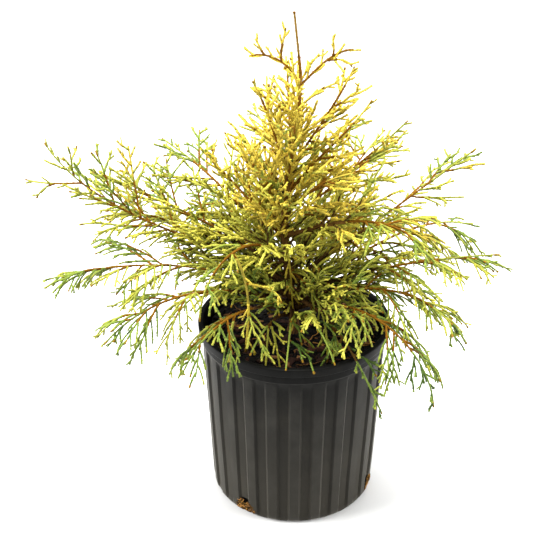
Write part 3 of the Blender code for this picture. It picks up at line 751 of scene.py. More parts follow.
youth = add_node(
    tree, "ShaderNodeMapRange", {"From Min": YOUNG_HEIGHTS[0], "From Max": YOUNG_HEIGHTS[1], "To Max": 0.85},
    {"Value": height.outputs["Z"]},
)
aged = add_node(
    tree, "ShaderNodeMix", {MIX_B: linear(YOUNG_BARK)}, {MIX_A: barked.outputs[MIX_OUT], MIX_SHARE: youth.outputs[0]},
    data_type="RGBA",
)
tree.links.new(aged.outputs[MIX_OUT], shader.inputs["Base Color"])
tree.links.new(bump.outputs["Normal"], shader.inputs["Normal"])


def bough_radius(share):
    """A bough's radius, with the collar where it leaves the trunk."""
    start, end = BOUGH_RADII
    return start + (end - start) * share + BOUGH_COLLAR * max(0, 1 - share / COLLAR_SHARE) ** 2


trunk_foot, trunk_tip = TRUNK_LINE[0][2], TRUNK_LINE[-1][2]
trunk_tube = bark_tube(
    [Vector(point) - UP * (0.002 if k == 0 else 0) for k, point in enumerate(TRUNK_LINE)],
    lambda share: trunk_radius(trunk_foot + (trunk_tip - trunk_foot) * share), TRUNK_SIDES, BARK_RIDGE,
)
wood_piece("trunk_bark", [trunk_tube], bark, ["trunk"])
lines = {limb.name: limb_line(limb) for limb in LIMBS}
bough_tubes = []
for limb in LIMBS:
    if limb.bough:
        run = lines[limb.name][0:bough_end(limb) + 1:2]
        run[0] = run[0] - (run[1] - run[0]).normalized() * BOUGH_SINK
        bough_tubes.append(bark_tube(run, bough_radius, BOUGH_SIDES, BARK_RIDGE * 0.6))
wood_piece("bough_bark", bough_tubes, bark, ["bough_" + limb.name for limb in LIMBS if limb.bough])

# The sprays
# Each mass is a stem with side shoots in one plane, which carry threads, and these fork into threadlets. All are
# clothed in opposite pairs of scale leaves pressed to the twig, golden in the light and green in the shade.
SHOOT_STEPS = 6
WAVER, TOP_WAVER = 0.040, 2.2
# side shoots: their spacing, their shortest and their spread in length, the share of the mass that tapers to its whip,
# in degrees how they open at its root, how much less at its tip, and how that and their tilt vary, the length at which
# lift counts in full, how much of each stays green at its end, and the largest share of it that is wood
SIDE_SHOOT_EVERY = 0.0085
SHORTEST_SHOOT = 0.007
SHOOT_SPREAD = (0.55, 1.3)
WHIP_SHARE = 0.35
SHOOT_OPENING, SHOOT_CLOSING, SHOOT_WANDER = 52, 16, 9
SHOOT_TILT = 38
LIFT_LENGTH = 0.04
GREEN_END, WOODY_LIMIT = 0.022, 0.55
# threads: their spacing, shortest, lengths and longest share of their shoot, how they open, how much more at the top,
# and how they tilt, in degrees, and how far they bend ahead and sag
THREAD_EVERY = 0.0060
SHORTEST_THREAD = 0.004
THREAD_LENGTHS = (0.016, 0.032)
LONGEST_THREAD_SHARE = 0.60
THREAD_OPENING, TOP_OPENING = (25, 40), 12
THREAD_TILT = 15
THREAD_BEND = 0.35
THREAD_SAG = 0.46
THREADLET_EVERY = 0.0060
THREADLET_LENGTHS = (0.0035, 0.0075)
THREADLET_OPENING = (32, 52)
THREADLET_BEND = 0.15
# how many of the side shoots, threads and strands' threads end in a brown tip
SHOOT_TIPS, THREAD_TIPS, STRAND_TIPS = 0.35, 0.16, 0.2
# radii at the root and the tip, and how much stouter the threads are at the top
AXIS_RADII = (0.00125, 0.00085)
SIDE_SHOOT_RADII = (0.00108, 0.00088)
THREAD_RADII = (0.00103, 0.00088)
THREADLET_RADII = (0.00094, 0.00079)
TOP_STOUTNESS = 0.22
# the scale leaves: the length of a pair, how its waist, tips and bare sides stand to the twig's radius, where along
# the pair its tips stand out, and how far the twig's end narrows
SCALE_LENGTH = 0.0026
SCALE_WAIST, SCALE_TIP, SCALE_SIDE = 0.82, 1.20, 0.96
TIP_PLACE, BLUNT_END = 0.82, 0.6
# what clothes a stretch of twig: its colour in deep shade and in full light, and the piece, material and slot that
# it goes into
Skin = namedtuple("Skin", "shaded sunlit piece surface slot")
SKINS = {
    "deep_green": Skin("#1a2806", "#3a5010", "threads_deep_green", "waxy_scale_leaves", "green_foliage"),
    "green": Skin("#364814", "#667828", "threads_green", "waxy_scale_leaves", "green_foliage"),
    "moss_green": Skin("#465414", "#7a882e", "threads_moss_green", "waxy_scale_leaves", "green_foliage"),
    "lime": Skin("#565e1a", "#929634", "threads_lime", "waxy_scale_leaves", "golden_foliage"),
    "lemon": Skin("#64661c", "#9e9c36", "threads_lemon", "waxy_scale_leaves", "golden_foliage"),
    "bright_lemon": Skin("#848026", "#c4bc46", "threads_bright_lemon", "waxy_scale_leaves", "golden_foliage"),
    "gold": Skin("#70641a", "#baa436", "threads_gold", "waxy_scale_leaves", "golden_foliage"),
    "bright_gold": Skin("#8c7a22", "#d4bc40", "threads_bright_gold", "waxy_scale_leaves", "golden_foliage"),
    "brown_twig": Skin("#2c200c", "#523c18", "twigs_brown", "peeling_twig_bark", "bark"),
    "orange_twig": Skin("#4a2e08", "#765010", "twigs_orange", "peeling_twig_bark", "bark"),
    "brown_tip": Skin("#564010", "#846620", "tips_brown", "peeling_twig_bark", "bark"),
    "dry_thread": Skin("#6a4622", "#a8783e", "litter_threads", "dried_scale_leaves", "bark_mix"),
    "root": Skin("#2a1e10", "#66492a", "litter_roots", "fibrous_root_skin", "bark_mix"),
}
# the shades from deep shade to full light, in even steps
SIDE_SHADES = (
    "deep_green", "deep_green", "green", "green", "moss_green", "lime", "lemon", "lemon", "bright_lemon", "bright_lemon"
)
TOP_SHADES = ("green", "green", "lime", "gold", "bright_gold")
GOLDEN_ABOVE, GOLDEN_REACH, GOLDEN_SLOPE = 0.292, 0.050, 0.35
# the height and half width of the crown, the heights between which the twigs turn upright and between which they come
# out of the shade of the boughs, and where the light of the top begins
CROWN_WIDTHS = ((0.15, 0.15), (0.20, 0.20), (0.25, 0.165), (0.30, 0.10), (0.36, 0.06), (0.45, 0.04))
UPRIGHT_HEIGHTS = (0.23, 0.32)
SHADED_HEIGHTS = (0.165, 0.25)
TOP_LIGHT_ABOVE = 0.34
LOW_LIGHT, OUTWARD_LOSS, HIGH_GAIN, TOP_GAIN = 0.47, 0.25, 0.38, 1.2
# how far the middle of a twig keeps off the pot, and how much further off the mix for its lumps
TWIG_ROOM, LUMP_ROOM = 0.0014, 0.0015

twigs = []
bands = {name: [] for name in SKINS}


def grow_twig(points, radii, tints):
    """Keeps a twig's points and sizes, and cuts it into bands of colour at these shares of its length."""
    length = sum((b - a).length for a, b in zip(points, points[1:]))
    nodes = max(2, round(length / SCALE_LENGTH))
    first = 0
    for share, tint in tints:
        last = max(first, round(nodes * share))
        if last > first:
            bands[tint].append((len(twigs), first, last))
            first = last
    twigs.append((points, radii, nodes))


def rise(point):
    """0 in the lower half of the plant, and up to 1 at its top, where the twigs stand up."""
    low, high = UPRIGHT_HEIGHTS
    return min(1, max(0, (point.z - low) / (high - low)))


def sunlight(point):
    """The light at a place, up to about 1: least low down and far out, under the sprays above, and most at the top."""
    heights, widths = zip(*CROWN_WIDTHS)
    centre = trunk_at(point.z)
    away = math.hypot(point.x - centre.x, point.y - centre.y) / float(np.interp(point.z, heights, widths))
    away = min(away, 1.1)
    low, high = SHADED_HEIGHTS
    free = min(1, max(0, (point.z - low) / (high - low)))
    level = LOW_LIGHT - OUTWARD_LOSS * away + HIGH_GAIN * free * (1 - 0.2 * away)
    return level + TOP_GAIN * max(0, point.z - TOP_LIGHT_ABOVE)


def is_golden(point):
    """Whether a twig is gold and not lemon: so are those near the leader, and further out only the highest."""
    centre = trunk_at(point.z)
    away = math.hypot(point.x - centre.x, point.y - centre.y)
    return point.z > GOLDEN_ABOVE + GOLDEN_SLOPE * max(0, away - GOLDEN_REACH)


def shade(level, golden):
    """The colour for a level of light, with more gold in it near the top of the plant."""
    shades = TOP_SHADES if golden else SIDE_SHADES
    return shades[min(len(shades) - 1, max(0, int(level * len(shades))))]


def hits_pot(point):
    """Whether a twig there would touch the pot or the bark mix."""
    away = math.hypot(point.x, point.y)
    if away < inner_radius(POT_HEIGHT - LIP_HEIGHT) - TWIG_ROOM:
        return point.z < SOIL_LEVEL + LUMP_ROOM + TWIG_ROOM
    if away < RIM_RADIUS + TWIG_ROOM:
        return point.z < POT_HEIGHT + TWIG_ROOM
    return False


def on_line(points, place):
    """The point at a place on a line, counted in its steps, and the line's direction there."""
    low = min(int(place), len(points) - 2)
    return points[low].lerp(points[low + 1], place - low), (points[low + 1] - points[low]).normalized()


def opened(ahead, outward, degrees):
    """The heading that opens from ahead towards outward by an angle."""
    opening = math.radians(degrees)
    return ahead * math.cos(opening) + outward * math.sin(opening)


def shoot(root, heading, length, pull, seed):
    """A side shoot's points: it leaves root along heading, is turned by pull on the way, and wavers a little."""
    draw = random.Random(seed)
    points, direction = [root], heading.normalized()
    reach = WAVER * (1 + TOP_WAVER * rise(root))
    for _ in range(SHOOT_STEPS):
        waver = Vector([draw.uniform(-reach, reach) for _ in range(3)])
        direction = (direction + pull / SHOOT_STEPS + waver).normalized()
        points.append(points[-1] + direction * (length / SHOOT_STEPS))
    return points


def side_shoots(limb, line):
    """(number, points) of each side shoot of a mass, from the root of its stem to its tip."""
    first = bough_end(limb)
    count = max(4, round(limb.mass / SIDE_SHOOT_EVERY))
    for k in range(count):
        draw = random.Random(f"{limb.name} {k}")
        share = (k + 0.5) / count
        root, ahead = on_line(line, first + share * (LINE_STEPS - first))
        azimuth = math.radians(limb.azimuth + limb.turn * share)
        across = Vector((-math.sin(azimuth), math.cos(azimuth), 0))
        side = (1 if k % 2 == 0 else -1) * (-1) ** (k // 2)
        tilt = math.radians(limb.roll * side + draw.uniform(-SHOOT_TILT, SHOOT_TILT))
        outward = Matrix.Rotation(tilt, 3, ahead) @ (across * side)
        opening = SHOOT_OPENING - SHOOT_CLOSING * share + draw.uniform(-SHOOT_WANDER, SHOOT_WANDER)
        heading = opened(ahead, outward, opening)
        envelope = min(1, 0.55 + 1.8 * share) * (1 - share) ** limb.fade
        envelope *= min(1, (1 - share) / WHIP_SHARE) ** 0.8
        length = max(SHORTEST_SHOOT, limb.fan * envelope * draw.uniform(*SHOOT_SPREAD))
        yield k, shoot(root, heading, length, UP * limb.lift * length / LIFT_LENGTH, f"{limb.name} {k} path")


def threads(limb, k, side_shoot, opening_range):
    """(share along it, points) of the threads that leave a side shoot on alternate sides."""
    length = (side_shoot[-1] - side_shoot[0]).length
    count = int(length / (THREAD_EVERY * (1 + 0.3 * rise(side_shoot[0]))))
    for m in range(count):
        draw = random.Random(f"{limb.name} {k} {m}")
        share = (m + 0.8) / (count + 0.4)
        root, ahead = on_line(side_shoot, share * SHOOT_STEPS)
        level = ahead.cross(UP)
        if level.length < 0.1:
            level = ahead.cross(Vector((1, 0, 0)))
        tilt = math.radians(limb.roll * 0.5 + draw.uniform(-THREAD_TILT, THREAD_TILT))
        outward = Matrix.Rotation(tilt, 3, ahead) @ level.normalized() * (1 if m % 2 else -1)
        heading = opened(ahead, outward, draw.uniform(*opening_range) + TOP_OPENING * rise(root))
        reach = draw.uniform(*THREAD_LENGTHS) * (1.15 - 0.5 * share) * (1 - 0.25 * rise(root))
        reach = max(SHORTEST_THREAD, min(reach, length * LONGEST_THREAD_SHARE))
        pull = ahead * THREAD_BEND + UP * (limb.lift * 0.6 - THREAD_SAG * reach / 0.02 * (1 - 0.5 * rise(root)))
        yield share, shoot(root, heading, reach, pull, f"{limb.name} {k} {m} path")


def threadlets(thread, seed):
    """Points of the short forks on the outer part of a thread, on alternate sides."""
    draw = random.Random(seed)
    length = (thread[-1] - thread[0]).length
    count = int(length / THREADLET_EVERY * draw.uniform(0.1, 0.9))
    ahead = (thread[-1] - thread[0]).normalized()
    across = ahead.cross(Vector((draw.gauss(0, 1), draw.gauss(0, 1), draw.gauss(0, 1)))).normalized()
    for m in range(count):
        share = 0.35 + 0.55 * (m + draw.uniform(0.3, 0.9)) / count
        root, _ = on_line(thread, share * SHOOT_STEPS)
        heading = opened(ahead, across * (1 if m % 2 else -1), draw.uniform(*THREADLET_OPENING))
        reach = draw.uniform(*THREADLET_LENGTHS) * (1.2 - 0.5 * share)
        bend = ahead * reach * THREADLET_BEND
        yield [root, root + heading * reach * 0.5, root + heading * reach + bend]


def leafy(level, golden, draw, tip_chance):
    """Bands of a green or golden twig: a shade darker at its root, and now and then a brown tip."""
    tints = [(0.35, shade(level - 0.09, golden)), (0.70, shade(level, golden))]
    if draw.random() < tip_chance:
        return tints + [(0.9, shade(level + 0.08, golden)), (1, "brown_tip")]
    return tints + [(1, shade(level + 0.08, golden))]


LEADER = LIMBS[-1]
LEADER_LEAN = Vector((-0.006, 0, 0))
LEADER_RADII = (0.00135, 0.00105)
# how much of a mass's stem stays green at its end, and the height above which young wood is orange
GREEN_LENGTH = 0.045
ORANGE_ABOVE = 0.192
# the shoots that clothe a bough: the share of it that stays bare at its root, their spacing and lengths, how they open
# from it and roll about it in degrees, and how their threads open and what share of them is wood
BARE_SHARE = 0.15
INNER_SHOOT_EVERY = 0.0046
INNER_LENGTHS = (0.026, 0.052)
INNER_SHOOT_OPENING, INNER_SHOOT_ROLL = (26, 50), 80
INNER_OPENING, INNER_WOODY = (12, 26), 0.55
# the thin shoots of the trunk: their spacing, the turn from one to the next, their slope, and how much steeper every
# first and every second one is at the top, in degrees
TRUNK_SHOOT_EVERY = 0.0028
GOLDEN_ANGLE = 137.5
TRUNK_SHOOT_PITCH, TRUNK_SHOOT_RISES = (18, 50), (34, 12)
# how the level of light varies from spray to spray, and the height at which gold begins
LEVEL_SPREAD, GOLD_SPREAD = 0.18, 0.035
# the soil shows between the sprays of the first, the second stay clear of it, and the third reach out of the shade
OPEN_LIMBS = ("front_left", "front", "front_right")
LOW_FRONT_LIMBS = ("low_left_front", "left_front", "right_front", "right_hanging")
GOLDEN_LIMBS, GOLDEN_CHANCE = ("mid_right", "upper_right"), 0.6
# how far twigs may hang out over the rim and down past it, and half the width where the pot's front is bare
RIM_OVERHANG = 0.005
RIM_DROP = 0.009
BARE_FRONT = 0.060


def hangs_in_front(limb, point):
    """Whether a twig hangs down over the front of the pot, or one of the front boughs reaches far over the rim."""
    outside = math.hypot(point.x, point.y) - RIM_RADIUS
    if outside > 0 and point.z < POT_HEIGHT - RIM_DROP and point.y < 0 and abs(point.x) < BARE_FRONT:
        return True
    return limb.name in OPEN_LIMBS and outside > RIM_OVERHANG


def shortened(points, share):
    """The first part of a shoot, with the same number of points."""
    return [on_line(points, k * share)[0] for k in range(len(points))]


def grow_spray(limb, k, points, level, woody, wood=None, opening_range=THREAD_OPENING):
    """A side shoot with its threads and threadlets. woody is the share of it that has turned to wood."""
    draw = random.Random(f"{limb.name} {k} spray")
    # a shoot that would touch the pot or hang before its front is cut back, and left out if even a stub would
    for part in (1.0, 0.75, 0.5, 0.3):
        path = shortened(points, part)
        if not any(hits_pot(point) for point in path[1:]) and not hangs_in_front(limb, path[-1]):
            break
    else:
        return
    level += draw.uniform(-LEVEL_SPREAD, LEVEL_SPREAD)
    golden = is_golden(path[-1] + UP * draw.uniform(-GOLD_SPREAD, GOLD_SPREAD))
    golden = golden or limb.name in GOLDEN_LIMBS and draw.random() < GOLDEN_CHANCE
    tints = leafy(level, golden, draw, SHOOT_TIPS)
    if woody:
        wood = wood or ("orange_twig" if path[0].z > ORANGE_ABOVE else "brown_twig")
        tints = [(woody, wood)] + [band for band in tints if band[0] > woody]
    grow_twig(path, SIDE_SHOOT_RADII, tints)
    for m, (share, thread) in enumerate(threads(limb, k, path, opening_range)):
        if hits_pot(thread[-1]) or hits_pot(thread[3]) or hangs_in_front(limb, thread[-1]):
            continue
        thread_level = level + draw.uniform(-0.1, 0.1) + 0.1 * share
        stout = 1 + TOP_STOUTNESS * rise(thread[0])
        grow_twig(thread, [radius * stout for radius in THREAD_RADII], leafy(thread_level, golden, draw, THREAD_TIPS))
        for fork in threadlets(thread, f"{limb.name} {k} {m} forks"):
            if not hits_pot(fork[-1]):
                grow_twig(fork, THREADLET_RADII, [(1, shade(thread_level + draw.uniform(-0.05, 0.2), golden))])


def inner_shoots(limb, line):
    """(label, points) of the shoots that clothe a bough, on all its sides."""
    end = bough_end(limb)
    run = (limb.bough + limb.mass) / LINE_STEPS
    count = round(limb.bough * (1 - BARE_SHARE) / INNER_SHOOT_EVERY)
    for k in range(count):
        draw = random.Random(f"{limb.name} inner {k}")
        place = end * (BARE_SHARE + (1 - BARE_SHARE) * (k + 0.5) / count)
        root, ahead = on_line(line, place)
        across = ahead.cross(UP).normalized()
        side = 1 if k % 2 else -1
        roll = math.radians(draw.uniform(-INNER_SHOOT_ROLL, INNER_SHOOT_ROLL))
        outward = Matrix.Rotation(roll, 3, ahead) @ (across * side)
        if limb.name in LOW_FRONT_LIMBS and outward.z < -0.1:
            continue
        heading = opened(ahead, outward, draw.uniform(*INNER_SHOOT_OPENING))
        length = draw.uniform(*INNER_LENGTHS) * min(1, 0.5 + run * place / 0.04)
        yield f"inner {k}", shoot(root, heading, length, UP * 0.3, f"{limb.name} inner {k} path")


def trunk_shoots():
    """(label, points) of the thin shoots that leave the trunk between its boughs."""
    top = TRUNK_LINE[-1][2] - 0.006
    height, k = TRUNK_LINE[0][2] + 0.008, 0
    while height < top:
        draw = random.Random(f"trunk shoot {k}")
        root = trunk_at(height)
        pitch = draw.uniform(*TRUNK_SHOOT_PITCH) + TRUNK_SHOOT_RISES[k % 2] * rise(root)
        heading = towards(GOLDEN_ANGLE * k, pitch)
        length = draw.uniform(0.65, 1.1) * min(0.066, 0.024 + (TRUNK_LINE[-1][2] - height) * 0.5)
        yield f"trunk {k}", shoot(root, heading, length, UP * 0.1, f"trunk shoot {k} path")
        height += TRUNK_SHOOT_EVERY * (1 + 0.3 * rise(root) + 30 * max(0, height - 0.32))
        k += 1


for limb in LIMBS:
    line = lines[limb.name]
    end = bough_end(limb)
    stem = [line[end] - (line[end + 1] - line[end]) * 0.5, *line[end + 1::3]]
    stem += [] if stem[-1] == line[-1] else [line[-1]]
    if limb is LEADER:
        stem = [point + LEADER_LEAN * k / len(stem) for k, point in enumerate(stem)]
    if limb.name in OPEN_LIMBS:
        while hangs_in_front(limb, stem[-1]):
            stem.pop()
    level, golden = sunlight(stem[-1]), is_golden(stem[-1])
    green_length = GREEN_LENGTH * (1 - 0.7 * rise(stem[0]))
    woody = max(0.12, 1 - green_length / limb.mass)
    wood = "orange_twig" if stem[0].z > ORANGE_ABOVE else "brown_twig"
    if limb is LEADER:
        grow_twig(stem, LEADER_RADII, [(0.3, wood), (0.97, "brown_tip"), (1, wood)])
    else:
        grow_twig(stem, AXIS_RADII, [(woody, wood), (0.96, shade(level + 0.1, golden)), (1, "brown_tip")])
    for k, points in () if limb is LEADER else side_shoots(limb, line):
        # the front boughs bear a third of their side shoots, and the long one that arches over them bears half
        if limb.name in OPEN_LIMBS and k % 3 or limb.name == "mid_front_left" and k % 2:
            continue
        length = (points[-1] - points[0]).length
        woody = max(0, min(WOODY_LIMIT, (length - GREEN_END) / length))
        grow_spray(limb, k, points, sunlight(points[SHOOT_STEPS // 2]) + 0.12 * limb.lift, woody)
    for label, points in () if limb.name in OPEN_LIMBS else inner_shoots(limb, line):
        level = sunlight(points[SHOOT_STEPS // 2]) + 0.08 * limb.lift
        grow_spray(limb, label, points, level, INNER_WOODY, "brown_twig", INNER_OPENING)
for label, points in trunk_shoots():
    woody = INNER_WOODY * (1 - rise(points[0]))
    grow_spray(LEADER, label, points, sunlight(points[-1]), woody, "brown_twig", INNER_OPENING)

# The leader's forks and the hanging strands
# Two orange shoots fork off at the foot of the leader, one long shoot reaches out at the far left, and a few strands
# hang free in front of the crown, away from any spray. They are twigs like the rest, with golden scales.
STRAND_RADII = (0.00118, 0.00092)
# on is the limb or strand that each leaves, at this share of its length or this height on the trunk, every is the
# spacing of its threads and reach their length, level is its light, and woody the share of it that is bare wood
Strand = namedtuple("Strand", "name on share azimuth pitches turn length every reach level woody")
STRANDS = (
    Strand("fork_right", "trunk", 0.378, 358, (44, 42, 4), 0, 0.052, 0.0075, 0.011, 0.95, 0.97),
    Strand("fork_right_up", "fork_right", 0.66, 10, (70, 96, 80), 0, 0.017, 0.006, 0.006, 0.95, 0.30),
    Strand("fork_right_low", "fork_right", 0.55, 350, (14, -6, -60), 0, 0.022, 0.006, 0.007, 0.95, 0.35),
    Strand("fork_left", "trunk", 0.378, 180, (66, 34, -20), 0, 0.051, 0.0075, 0.011, 0.95, 0.97),
    Strand("fork_left_up", "fork_left", 0.46, 180, (78, 100, 96), 0, 0.028, 0.0055, 0.008, 0.95, 0.50),
    Strand("fork_left_tip", "fork_left", 0.74, 190, (44, 66, 50), 0, 0.016, 0.006, 0.006, 0.95, 0.40),
    Strand("flag_left", "mid_left", 0.80, 180, (-2, 2, 18), 0, 0.047, 0.012, 0.009, 0.72, 0.50),
    Strand("flag_left_fork", "flag_left", 0.46, 180, (-14, -40, -66), 0, 0.022, 0.008, 0.006, 0.72, 0.30),
    Strand("long_left", "mid_front_left", 0.53, 350, (-58, -88, -94), 0, 0.094, 0.024, 0.014, 0.95, 0.05),
    Strand("long_left_fork", "long_left", 0.30, 350, (-8, -20, -85), 0, 0.036, 0.017, 0.010, 0.95, 0.05),
    Strand("middle", "trunk", 0.238, 288, (-50, -82, -70), 20, 0.074, 0.009, 0.014, 0.85, 0.10),
    Strand("curl", "trunk", 0.212, 330, (30, -30, -150), -60, 0.052, 0.015, 0.008, 0.80, 0.15),
    Strand("front_arch", "trunk", 0.214, 320, (-10, -38, -84), -50, 0.094, 0.008, 0.017, 0.68, 0.25),
    Strand("side", "mid_right", 0.30, 322, (-20, -55, -62), 0, 0.062, 0.009, 0.015, 0.90, 0.45),
    Strand("rim_right", "right_hanging", 0.40, 280, (-40, -70, -85), -40, 0.046, 0.008, 0.014, 0.66, 0.10),
    Strand("rim_left_outer", "front_left", 0.45, 262, (-50, -62, -50), 0, 0.038, 0.010, 0.012, 0.80, 0.05),
    Strand("rim_left_inner", "front_left", 0.42, 292, (-30, -60, -60), 0, 0.040, 0.010, 0.012, 0.80, 0.05),
    Strand("left_drop", "left_front", 0.50, 250, (-40, -80, -88), 0, 0.044, 0.016, 0.006, 0.80, 0.10),
)
for strand in STRANDS:
    draw = random.Random("strand " + strand.name)
    if strand.on == "trunk":
        root = trunk_at(strand.share)
    else:
        root = lines[strand.on][round(strand.share * LINE_STEPS)]
    line = bent_line(root, strand.azimuth, strand.pitches, strand.turn, strand.length)
    lines[strand.name] = line
    golden = strand.level > 0.82
    tints = [(strand.woody, "orange_twig")]
    if strand.woody < 0.8:
        tints += [(0.5, shade(strand.level - 0.15, golden)), (0.93, shade(strand.level, golden))]
    grow_twig(line[::3], STRAND_RADII, tints + [(1, "brown_tip")])
    count = int(strand.length / strand.every)
    for m in range(count):
        share = (m + 0.9) / (count + 0.3)
        low = min(int(share * LINE_STEPS), LINE_STEPS - 1)
        ahead = (line[low + 1] - line[low]).normalized()
        across = ahead.cross(Vector((draw.uniform(-0.4, 0.4), -1, draw.uniform(-0.4, 0.4)))).normalized()
        heading = opened(ahead, across * (1 if m % 2 else -1), draw.uniform(30, 44))
        reach = strand.reach * draw.uniform(0.7, 1.2)
        pull = ahead * 0.3 + UP * (rise(root) - 0.3)
        thread = shoot(line[low], heading, reach, pull, f"{strand.name} {m}")
        if hits_pot(thread[-1]):
            continue
        grow_twig(thread, THREAD_RADII, leafy(strand.level, golden, draw, STRAND_TIPS))
        for fork in threadlets(thread, f"{strand.name} {m} forks"):
            grow_twig(fork, THREADLET_RADII, [(1, shade(strand.level + 0.1, golden))])

# Roots and fallen threads
# The root ball is bound by fine roots, which fill the drain holes as a brown felt. Dry threads and thin roots that
# have dropped from the plant lie curled on the mix.
ROOTS_PER_HOLE = 90
ROOT_RADII = (0.00055, 0.00030)
# where roots start beside and above a hole's middle, how far past its edge they spread, how deep in it they lie and how
# far they stand out of it
ROOT_ACROSS, ROOT_UP = (-0.010, 0.010), (-0.007, 0.010)
ROOT_SPILL = 0.0016
ROOT_DEPTH, ROOT_PROUD = 0.0016, 0.0005
ROOT_POINTS, ROOT_STEP, ROOT_CURL = 6, 0.0016, 0.9
DRY_THREADS = 40
DRY_RADII = (0.00060, 0.00045)
DRY_LIFT = (0.0006, 0.0020)
DRY_POINTS, DRY_STEP, DRY_CURL = (4, 9), 0.004, 0.5
TRUNK_FREE = 0.010


def foot_radius(height):
    """Outer radius of the pot's rounded foot at a height."""
    down = max(0, FOOT_CORNER - height)
    return cone_radius(FOOT_CORNER) - FOOT_CORNER + math.sqrt(FOOT_CORNER ** 2 - down ** 2)


for degrees in DRAIN_HOLE_AZIMUTHS:
    middle = math.radians(degrees) - math.pi / 2
    for k in range(ROOTS_PER_HOLE):
        draw = random.Random(f"root {degrees} {k}")
        across, up = draw.uniform(*ROOT_ACROSS), draw.uniform(*ROOT_UP)
        course, depth, path = draw.uniform(0, math.tau), draw.uniform(0, ROOT_DEPTH), []
        for _ in range(ROOT_POINTS):
            height = DRAIN_HOLE_HEIGHT - 0.001 + up
            ragged = 0.0008 * math.sin(3 * math.atan2(up, across) + degrees) + draw.uniform(-0.001, 0.001)
            inside = DRAIN_HOLE_RADIUS + ROOT_SPILL + ragged - math.hypot(across, up)
            if inside < 0 or height < 0.0007:
                break
            radius = foot_radius(height) + ROOT_PROUD - depth * min(1, max(0, inside - ROOT_SPILL) / 0.003)
            turn = middle + across / radius
            path.append(Vector((radius * math.cos(turn), radius * math.sin(turn), height)))
            course += draw.uniform(-ROOT_CURL, ROOT_CURL)
            across, up = across + ROOT_STEP * math.cos(course), up + ROOT_STEP * math.sin(course)
        if len(path) > 2:
            grow_twig(path, ROOT_RADII, [(1, draw.choice(("root", "root", "brown_twig", "dry_thread")))])

draw = random.Random("dry threads")
for k in range(DRY_THREADS):
    x, y, _ = soil_spot(draw)
    course, path = draw.uniform(0, math.tau), []
    for _ in range(draw.randrange(*DRY_POINTS)):
        if not TRUNK_FREE <= math.hypot(x, y) <= soil_edge - 0.001:
            break
        path.append(Vector((x, y, soil_height(x, y) + draw.uniform(*DRY_LIFT))))
        course += draw.uniform(-DRY_CURL, DRY_CURL)
        x, y = x + DRY_STEP * math.cos(course), y + DRY_STEP * math.sin(course)
    if len(path) > 2:
        grow_twig(path, DRY_RADII, [(1, draw.choice(("dry_thread", "root")))])

# The threads, twigs and roots as pieces
# Each colour of scale leaf or of twig bark is one piece. The living scales are waxy and grow pressed to the twig, and
# wood, roots and dead threads have a thin dull skin.


def scaly_mesh(name, rows):
    """Twigs clothed in scale leaves: at each node a waist, then a wider ring where one pair of scales stands out."""
    numbers, firsts, lasts = (np.array(column) for column in zip(*rows))
    point_lists = [
        [2 * line[0] - line[1], *line, 2 * line[-1] - line[-2]] for line in (twigs[number][0] for number in numbers)
    ]
    counts = np.array([len(points) for points in point_lists])
    anchors = np.array([tuple(point) for points in point_lists for point in points])
    starts = np.concatenate(([0], np.cumsum(counts)[:-1]))
    radii = np.array([twigs[number][1] for number in numbers])
    nodes = np.array([twigs[number][2] for number in numbers])
    rings = 2 * (lasts - firsts) + 1
    row = np.repeat(np.arange(len(rows)), rings)
    step = np.arange(rings.sum()) - np.repeat(np.concatenate(([0], np.cumsum(rings)[:-1])), rings)
    node = firsts[row] + step // 2
    proud = step % 2
    share = (node + TIP_PLACE * proud) / nodes[row]
    place = share * (counts[row] - 3)
    low = np.minimum(place.astype(int), counts[row] - 4)
    t = (place - low)[:, None]
    a, b, c, d = (anchors[starts[row] + low + k] for k in range(4))
    centre = (2 * b + (c - a) * t + (2 * a - 5 * b + 4 * c - d) * t ** 2 + (3 * b - a - 3 * c + d) * t ** 3) / 2
    ahead = (c - a) + (2 * a - 5 * b + 4 * c - d) * 2 * t + (3 * b - a - 3 * c + d) * 3 * t ** 2
    ahead /= np.linalg.norm(ahead, axis=1, keepdims=True)
    chance = np.random.default_rng(len(rows)).normal(size=(len(twigs), 3))
    chord = anchors[starts + counts - 2] - anchors[starts + 1]
    across = np.cross(chord, chance[numbers])[row]
    across -= ahead * (across * ahead).sum(1, keepdims=True)
    across /= np.linalg.norm(across, axis=1, keepdims=True)
    beside = np.cross(ahead, across)
    radius = radii[row, 0] + (radii[row, 1] - radii[row, 0]) * share
    wide = np.where(proud == 1, SCALE_TIP, SCALE_WAIST)
    narrow = np.where(proud == 1, SCALE_SIDE, SCALE_WAIST)
    blunt = np.where((node == nodes[row]) & (proud == 0), BLUNT_END, 1.0)
    along_across = radius * blunt * np.where(node % 2 == 0, wide, narrow)
    along_beside = radius * blunt * np.where(node % 2 == 0, narrow, wide)
    x, y = across * along_across[:, None], beside * along_beside[:, None]
    points = np.stack((centre + x, centre + y, centre - x, centre - y), 1).reshape(-1, 3)
    ring_start = np.arange(len(row)) * 4
    joined = ring_start[:-1][row[:-1] == row[1:]]
    walls = [
        np.stack((joined + k, joined + (k + 1) % 4, joined + 4 + (k + 1) % 4, joined + 4 + k), 1) for k in range(4)
    ]
    heads = ring_start[np.concatenate(([0], np.cumsum(rings)[:-1]))]
    tails = ring_start[np.cumsum(rings) - 1]
    caps = [np.stack([heads + 3 - k for k in range(4)], 1), np.stack([tails + k for k in range(4)], 1)]
    return mesh_of(name, points, np.concatenate(walls + caps))


MOTTLE = 0.004


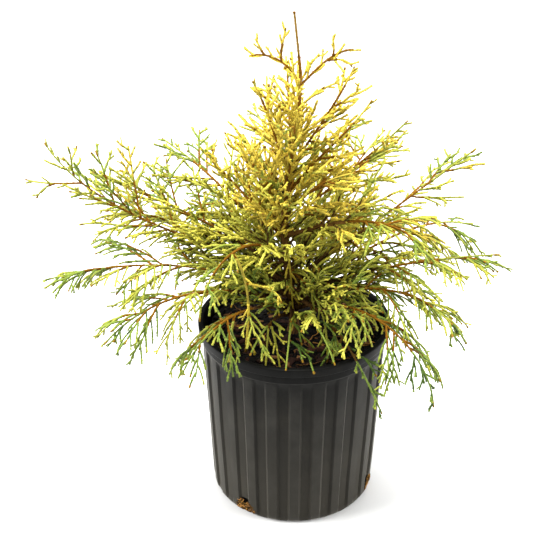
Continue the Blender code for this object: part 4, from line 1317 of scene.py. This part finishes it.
def twig_skin(name, skin):
    """Scale leaves or bark of one colour, painted lighter on the side that faces the sky and darker beneath as painted
    light and shade (on living scales partly also their real sun-bleached gold), and mottled every few scales. Living
    leaves have a thin wax that gives them a soft gloss, and wood and dead leaves are dull."""
    waxy = skin.surface == "waxy_scale_leaves"
    leaf, tree, shader = start_material(
        skin.surface + "_" + name, skin.shaded, Roughness=0.55 if waxy else 0.85,
        Specular_IOR_Level=0.18 if waxy else 0.05,
    )
    where = add_node(tree, "ShaderNodeTexCoord")
    facing = add_node(tree, "ShaderNodeSeparateXYZ", {}, {"Vector": where.outputs["Normal"]})
    spots = add_node(
        tree, "ShaderNodeTexNoise", {"Scale": 1 / MOTTLE, "Detail": 3.0}, {"Vector": where.outputs["Object"]}
    )
    # painted light and shade: a face turned to the sky gets more of the sunlit colour, one turned down more of the
    # shaded
    painted_sky_light = add_node(
        tree, "ShaderNodeMapRange", {"From Min": -0.75, "From Max": 0.55, "To Max": 0.8}, {"Value": facing.outputs["Z"]}
    )
    patchy = add_node(
        tree, "ShaderNodeMapRange", {"From Min": 0.3, "From Max": 0.7, "To Min": -0.2, "To Max": 0.25},
        {"Value": spots.outputs["Fac"]},
    )
    island = add_node(tree, "ShaderNodeNewGeometry").outputs["Random Per Island"]
    own_tone = add_node(tree, "ShaderNodeMapRange", {"To Min": -0.16, "To Max": 0.16}, {"Value": island})
    toned = add_node(
        tree, "ShaderNodeMath", {}, {0: patchy.outputs[0], 1: own_tone.outputs[0]}, operation="ADD"
    )
    share = add_node(
        tree, "ShaderNodeMath", {}, {0: painted_sky_light.outputs[0], 1: toned.outputs[0]}, operation="ADD", use_clamp=True
    )
    coloured = add_node(
        tree, "ShaderNodeMix", {MIX_A: linear(skin.shaded), MIX_B: linear(skin.sunlit)},
        {MIX_SHARE: share.outputs[0]}, data_type="RGBA",
    )
    bump = add_node(
        tree, "ShaderNodeBump", {"Strength": 0.5, "Distance": 0.0001}, {"Height": spots.outputs["Fac"]}
    )
    tree.links.new(coloured.outputs[MIX_OUT], shader.inputs["Base Color"])
    tree.links.new(bump.outputs["Normal"], shader.inputs["Normal"])
    return leaf


masses = ["foliage_" + limb.name for limb in LIMBS]
for name, skin in SKINS.items():
    piece = add_piece(skin.piece, scaly_mesh(skin.piece, bands[name]), twig_skin(name, skin))
    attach(piece, "root")
    if skin.slot != "bark_mix":
        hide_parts(*masses)
